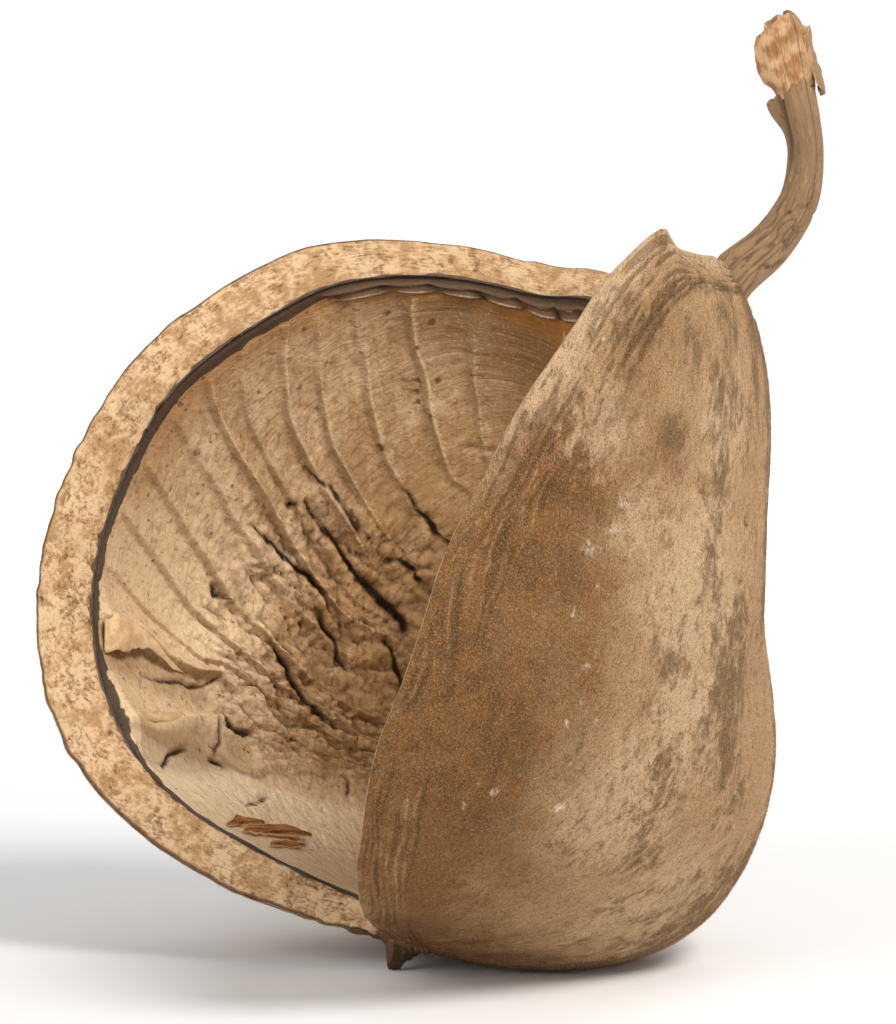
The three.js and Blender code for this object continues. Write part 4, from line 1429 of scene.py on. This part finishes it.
def bark_radius(s, angle, height):
    r = station_curve(STALK_STATIONS, STALK_RADII, np.clip(s, 0, 1))
    ridge = np.cos(BARK_RIDGES * angle + 5 * s) + 0.6 * np.cos(5 * angle - 7 * s + 1)
    wide = np.stack([3.6 * np.cos(angle), 3.6 * np.sin(angle), s * 78], -1)
    wavy = noise(wide + 0.8 * noise(wide, 5, 301)[..., None], (1.2, 1.2, 12), 311, 2)
    fold = np.minimum(3.2 * np.abs(wavy), 1) - 0.45
    low = 1 - smooth(s, 0.3, 0.75)
    relief = 0.1 * ridge + height * fold * (0.25 + 0.9 * low)
    knot = 0.4 * bell(angle_gap(angle, 4.2), 0.8) * bell(s - 0.57, 0.05)
    groove = bell(angle_gap(angle, 1.5 - 1.2 * (s - BARK_END)), 0.17) * smooth(s, 0.55, 0.72)
    flange = 1.5 * bell(angle_gap(angle, 2.15), 0.34) * smooth(s, 0.72, BARK_END)
    return r + relief * smooth(s, 0.02, 0.14) + knot + flange - 0.8 * groove, fold, low, groove


def bark_edge(angle):
    """How much further the bark's torn end reaches than BARK_END, in shares of the stalk."""
    return 0.045 * bell(angle_gap(angle, 0.4), 0.9) - 0.022


class POD_OT_stalk(bpy.types.Operator):
    """Builds the stalk with its furrowed bark and the torn wood at its end"""

    bl_idname = "seed_pod.stalk"
    bl_label = "Stalk"

    def execute(self, context):
        sizes = context.scene.pod_sizes
        colours = context.scene.pod_colours
        angles = -np.linspace(0, 2 * math.pi, 112, endpoint=False)
        steps = np.linspace(-0.02, BARK_END, 230)
        s, angle = np.meshgrid(steps, angles, indexing="ij")
        radius, fold, low, groove = bark_radius(s, angle, sizes.bark_height / MM)
        torn_end = bark_edge(angle) + 0.006 * np.sin(5 * angle) + 0.004 * np.sin(11 * angle + 1)
        slanted = s + torn_end * smooth(s, 0.72, BARK_END)
        bark = tube_points(slanted, angle, radius)
        # the bark's end is a thin rim round the wood
        rim = tube_points(slanted[-1] + 0.004, angles, radius[-1] - 0.25)
        inner = tube_points(slanted[-1] - 0.004, angles, radius[-1] - 0.8)
        # torn wood: grows out of the bark, spreads and ends raggedly
        up = np.linspace(0, 1, 46)
        t, a = np.meshgrid(up, angles, indexing="ij")
        spread = station_curve([0, 0.15, 0.5, 0.85, 1], [3.6, 4.0, 4.3, 4.4, 3.9], t)
        # flat faces where the wood split, with steps between them
        facet = np.abs(np.sin(1.5 * a + 0.7 * np.sin(2 * a + 1) + 0.8 * t))
        shards = noise(np.stack([2.4 * np.cos(a), 2.4 * np.sin(a), t * 2.4], -1), 1.2, 321, 2)
        flat = 1 + 0.16 * np.cos(2 * (a + 0.94)) * smooth(t, 0.1, 0.6)
        spread = spread * (1 - 0.13 * bell(angle_gap(a, 2.2), 0.8) * (1 - smooth(t, 0.2, 0.32)))
        wood_radius = spread * flat * (1 - 0.26 * (facet - 0.5) * smooth(t, 0.05, 0.35) + 0.1 * shards)
        # the top is highest in the middle and slopes down on both sides
        slope = 0.06 * bell(angle_gap(a, 2.2), 0.8) + 0.075 * bell(angle_gap(a, -0.94), 0.6)
        steps = 0.006 * np.sign(np.sin(3 * a + 0.6)) + 0.003 * np.sin(9 * a)
        ragged = t * t * (0.045 + steps - slope)
        reach = lerp(BARK_END - 0.008, 1.0, t) + bark_edge(a) * (1 - t) + ragged
        wood = tube_points(reach, a, wood_radius)
        hollow = tube_points(np.full(len(angles), 0.965), angles, np.full(len(angles), 1.4))
        rings = np.concatenate([bark, rim[None], inner[None], wood, hollow[None]])
        rows, columns = rings.shape[:2]
        bark_fields = {
            "flow": on_sheet(angle * 3.7, s * 78),
            # painted shade in the furrows and the groove of the bark
            "furrow": np.maximum(np.clip(0.45 - fold * 0.9, 0, 1) * (0.3 + 0.75 * low), groove),
            "knot": bell(angle_gap(angle, 0.75), 0.16) * bell(s - 0.5, 0.008),
        }
        wood_fields = {
            "flow": on_sheet(a * 4, t * 12),
            "furrow": np.zeros(t.shape),
            "knot": np.zeros(t.shape),
        }
        joined = {}
        for name, values in bark_fields.items():
            middle = np.stack([values[-1], values[-1]])
            end = wood_fields[name][-1:]
            joined[name] = np.concatenate([values, middle, wood_fields[name], end])
        face_slots = [0] * columns
        face_slots += [0] * columns * len(bark)
        face_slots += [1] * (columns * (rows - 1 - len(bark)) + columns)
        bark_material = bark_finish(colours)
        wood_material = wood_finish(colours)
        fields = ring_fields(**joined)
        bare = np.zeros((len(bark) + 2, columns))
        rind = np.concatenate([bare, smooth(np.cos(a + 0.94), 0.1, 1), np.zeros((1, columns))])
        fields.update(ring_fields(rind=rind))
        piece = make_piece(
            "stalk_bark", closed_points(rings), closed_faces(rows, columns),
            [bark_material, wood_material], face_slots, fields,
        )
        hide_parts("stalk")
        # a strip of bark and wood that hangs down beside the torn end
        along = np.linspace(0, 1, 40)
        aside = np.linspace(-1, 1, 13)
        u, v = np.meshgrid(along, aside, indexing="ij")
        s = lerp(1.0, 0.822, u) + 0.006 * np.sin(4 * v + 1) * u - 0.02 * (1 - u) * np.abs(v)
        off = lerp(0.3, 1.35, smooth(u, 0.2, 0.95)) + 0.12 * noise(on_sheet(u * 14, v * 2), 1.6, 341, 2)
        around = station_curve(STALK_STATIONS, STALK_RADII, s)
        a = -0.7 - 0.2 * u + 0.5 * v * (1 - 0.55 * smooth(u, 0.75, 1.0) * v**2)
        strip = tube_points(s, a, around + off - 0.18 * v**2)
        strip_fields = {
            "flow": on_sheet(v * 1.3, u * 14),
            # the strip's edges are painted a little darker, as shade
            "furrow": 0.3 * smooth(np.abs(v), 0.7, 1),
            "knot": v * 0,
        }
        hanging = sheet_piece("torn_strip", strip, 0.5, bark_material, strip_fields)
        hanging.data.materials.append(wood_material)
        side_faces = (len(along) - 1) * (len(aside) - 1)
        rim_faces = len(hanging.data.polygons) - 2 * side_faces
        inside = [1] * side_faces + [0] * side_faces + [1] * rim_faces
        hanging.data.polygons.foreach_set("material_index", inside)
        return {"FINISHED"}


class POD_OT_stage(bpy.types.Operator):
    """Sets up the pale floor, the soft studio light and the camera"""

    bl_idname = "seed_pod.stage"
    bl_label = "Stage"

    def execute(self, context):
        scene = context.scene
        mesh = bpy.data.meshes.new("floor")
        reach = 4.0
        mesh.from_pydata(
            [(-reach, -reach, 0), (reach, -reach, 0), (reach, reach, 0), (-reach, reach, 0)],
            [], [(0, 1, 2, 3)],
        )
        floor = bpy.data.objects.new("floor", mesh)
        scene.collection.objects.link(floor)
        floor.location.z = -0.0002
        f = Finish("floor", 0.9)
        f.paint((0.88, 0.875, 0.87, 1))
        # the far floor is lit by itself, so it meets the background without a line
        far = f.node("VectorMath", {"operation": "LENGTH"}, f.place()).outputs["Value"]
        f.set("Emission Color", f.mix((0, 0, 0, 1), (1, 1, 1, 1), Value(f, far).between(180, 700)))
        f.set("Emission Strength", 0.62)
        mesh.materials.append(f.material)

        target = Vector(CAMERA_TARGET)
        toward = Vector((
            math.sin(CAMERA_AZIMUTH) * math.cos(CAMERA_ELEVATION),
            -math.cos(CAMERA_AZIMUTH) * math.cos(CAMERA_ELEVATION),
            math.sin(CAMERA_ELEVATION),
        ))
        camera = bpy.data.cameras.new("camera")
        camera.lens = 165
        camera.sensor_width = 36
        camera.clip_start = 0.01
        camera.clip_end = 20
        view = bpy.data.objects.new("camera", camera)
        scene.collection.objects.link(view)
        view.location = target + toward * CAMERA_DISTANCE
        view.rotation_euler = (-toward).to_track_quat("-Z", "Y").to_euler()
        scene.camera = view

        right = Vector((math.cos(CAMERA_AZIMUTH), math.sin(CAMERA_AZIMUTH), 0))
        up = Vector((0, 0, 1))
        lights = [
            ("key", 0.8 * right + 1.05 * up + 0.7 * toward, 0.6, 19.0, (1.0, 0.985, 0.96)),
            ("fill", -0.9 * right + 0.6 * up + 0.9 * toward, 0.9, 7.0, (1.0, 0.99, 0.98)),
            ("back", 0.6 * right + 0.8 * up - 1.0 * toward, 0.8, 4.0, (1.0, 1.0, 1.0)),
        ]
        for name, way, size, power, tint in lights:
            light = bpy.data.lights.new(name, "AREA")
            light.shape = "DISK"
            light.size = size
            light.energy = power
            light.color = tint
            lamp = bpy.data.objects.new(name, light)
            scene.collection.objects.link(lamp)
            lamp.location = target + way
            lamp.rotation_euler = (-way).to_track_quat("-Z", "Y").to_euler()
        world = bpy.data.worlds.new("studio")
        world.use_nodes = True
        # white round the horizon and dimmer overhead, where the lamps are
        sky = Nodes(world.node_tree)
        sight = sky.node("TexCoord", {})
        height = sky.node("SeparateXYZ", {}, sight.outputs["Generated"])
        stops = [(0.12, (1, 1, 1, 1)), (0.4, (0.42, 0.42, 0.42, 1))]
        ramp = sky.node("ValToRGB", {"stops": stops}, height.outputs["Z"])
        light = sky.node("Background", {}, ramp.outputs[0], 1.04)
        sky.node("OutputWorld", {}, light.outputs[0])
        scene.world = world
        scene.view_settings.view_transform = "Standard"
        return {"FINISHED"}


class POD_PT_panel(bpy.types.Panel):
    """Lists the pieces of the pod with their sizes and colours"""

    bl_idname = "POD_PT_panel"
    bl_label = "Seed Pod"
    bl_space_type = "VIEW_3D"
    bl_region_type = "UI"
    bl_category = "Seed Pod"

    def draw(self, context):
        for operator in OPERATORS:
            self.layout.operator(operator.bl_idname)
        for group in (context.scene.pod_sizes, context.scene.pod_colours):
            for name in group.__annotations__:
                self.layout.prop(group, name)


OPERATORS = [POD_OT_husk, POD_OT_fuzz, POD_OT_lining, POD_OT_flaps, POD_OT_stalk, POD_OT_stage]
CLASSES = [PodSizes, PodColours, *OPERATORS, POD_PT_panel]


def register():
    for cls in CLASSES:
        bpy.utils.register_class(cls)
    bpy.types.Scene.pod_sizes = bpy.props.PointerProperty(type=PodSizes)
    bpy.types.Scene.pod_colours = bpy.props.PointerProperty(type=PodColours)


def unregister():
    del bpy.types.Scene.pod_colours
    del bpy.types.Scene.pod_sizes
    for cls in reversed(CLASSES):
        bpy.utils.unregister_class(cls)


def main():
    register()
    bpy.ops.seed_pod.husk()
    bpy.ops.seed_pod.fuzz()
    bpy.ops.seed_pod.lining()
    bpy.ops.seed_pod.flaps()
    bpy.ops.seed_pod.stalk()
    bpy.ops.seed_pod.stage()


if __name__ == "__main__":
    main()
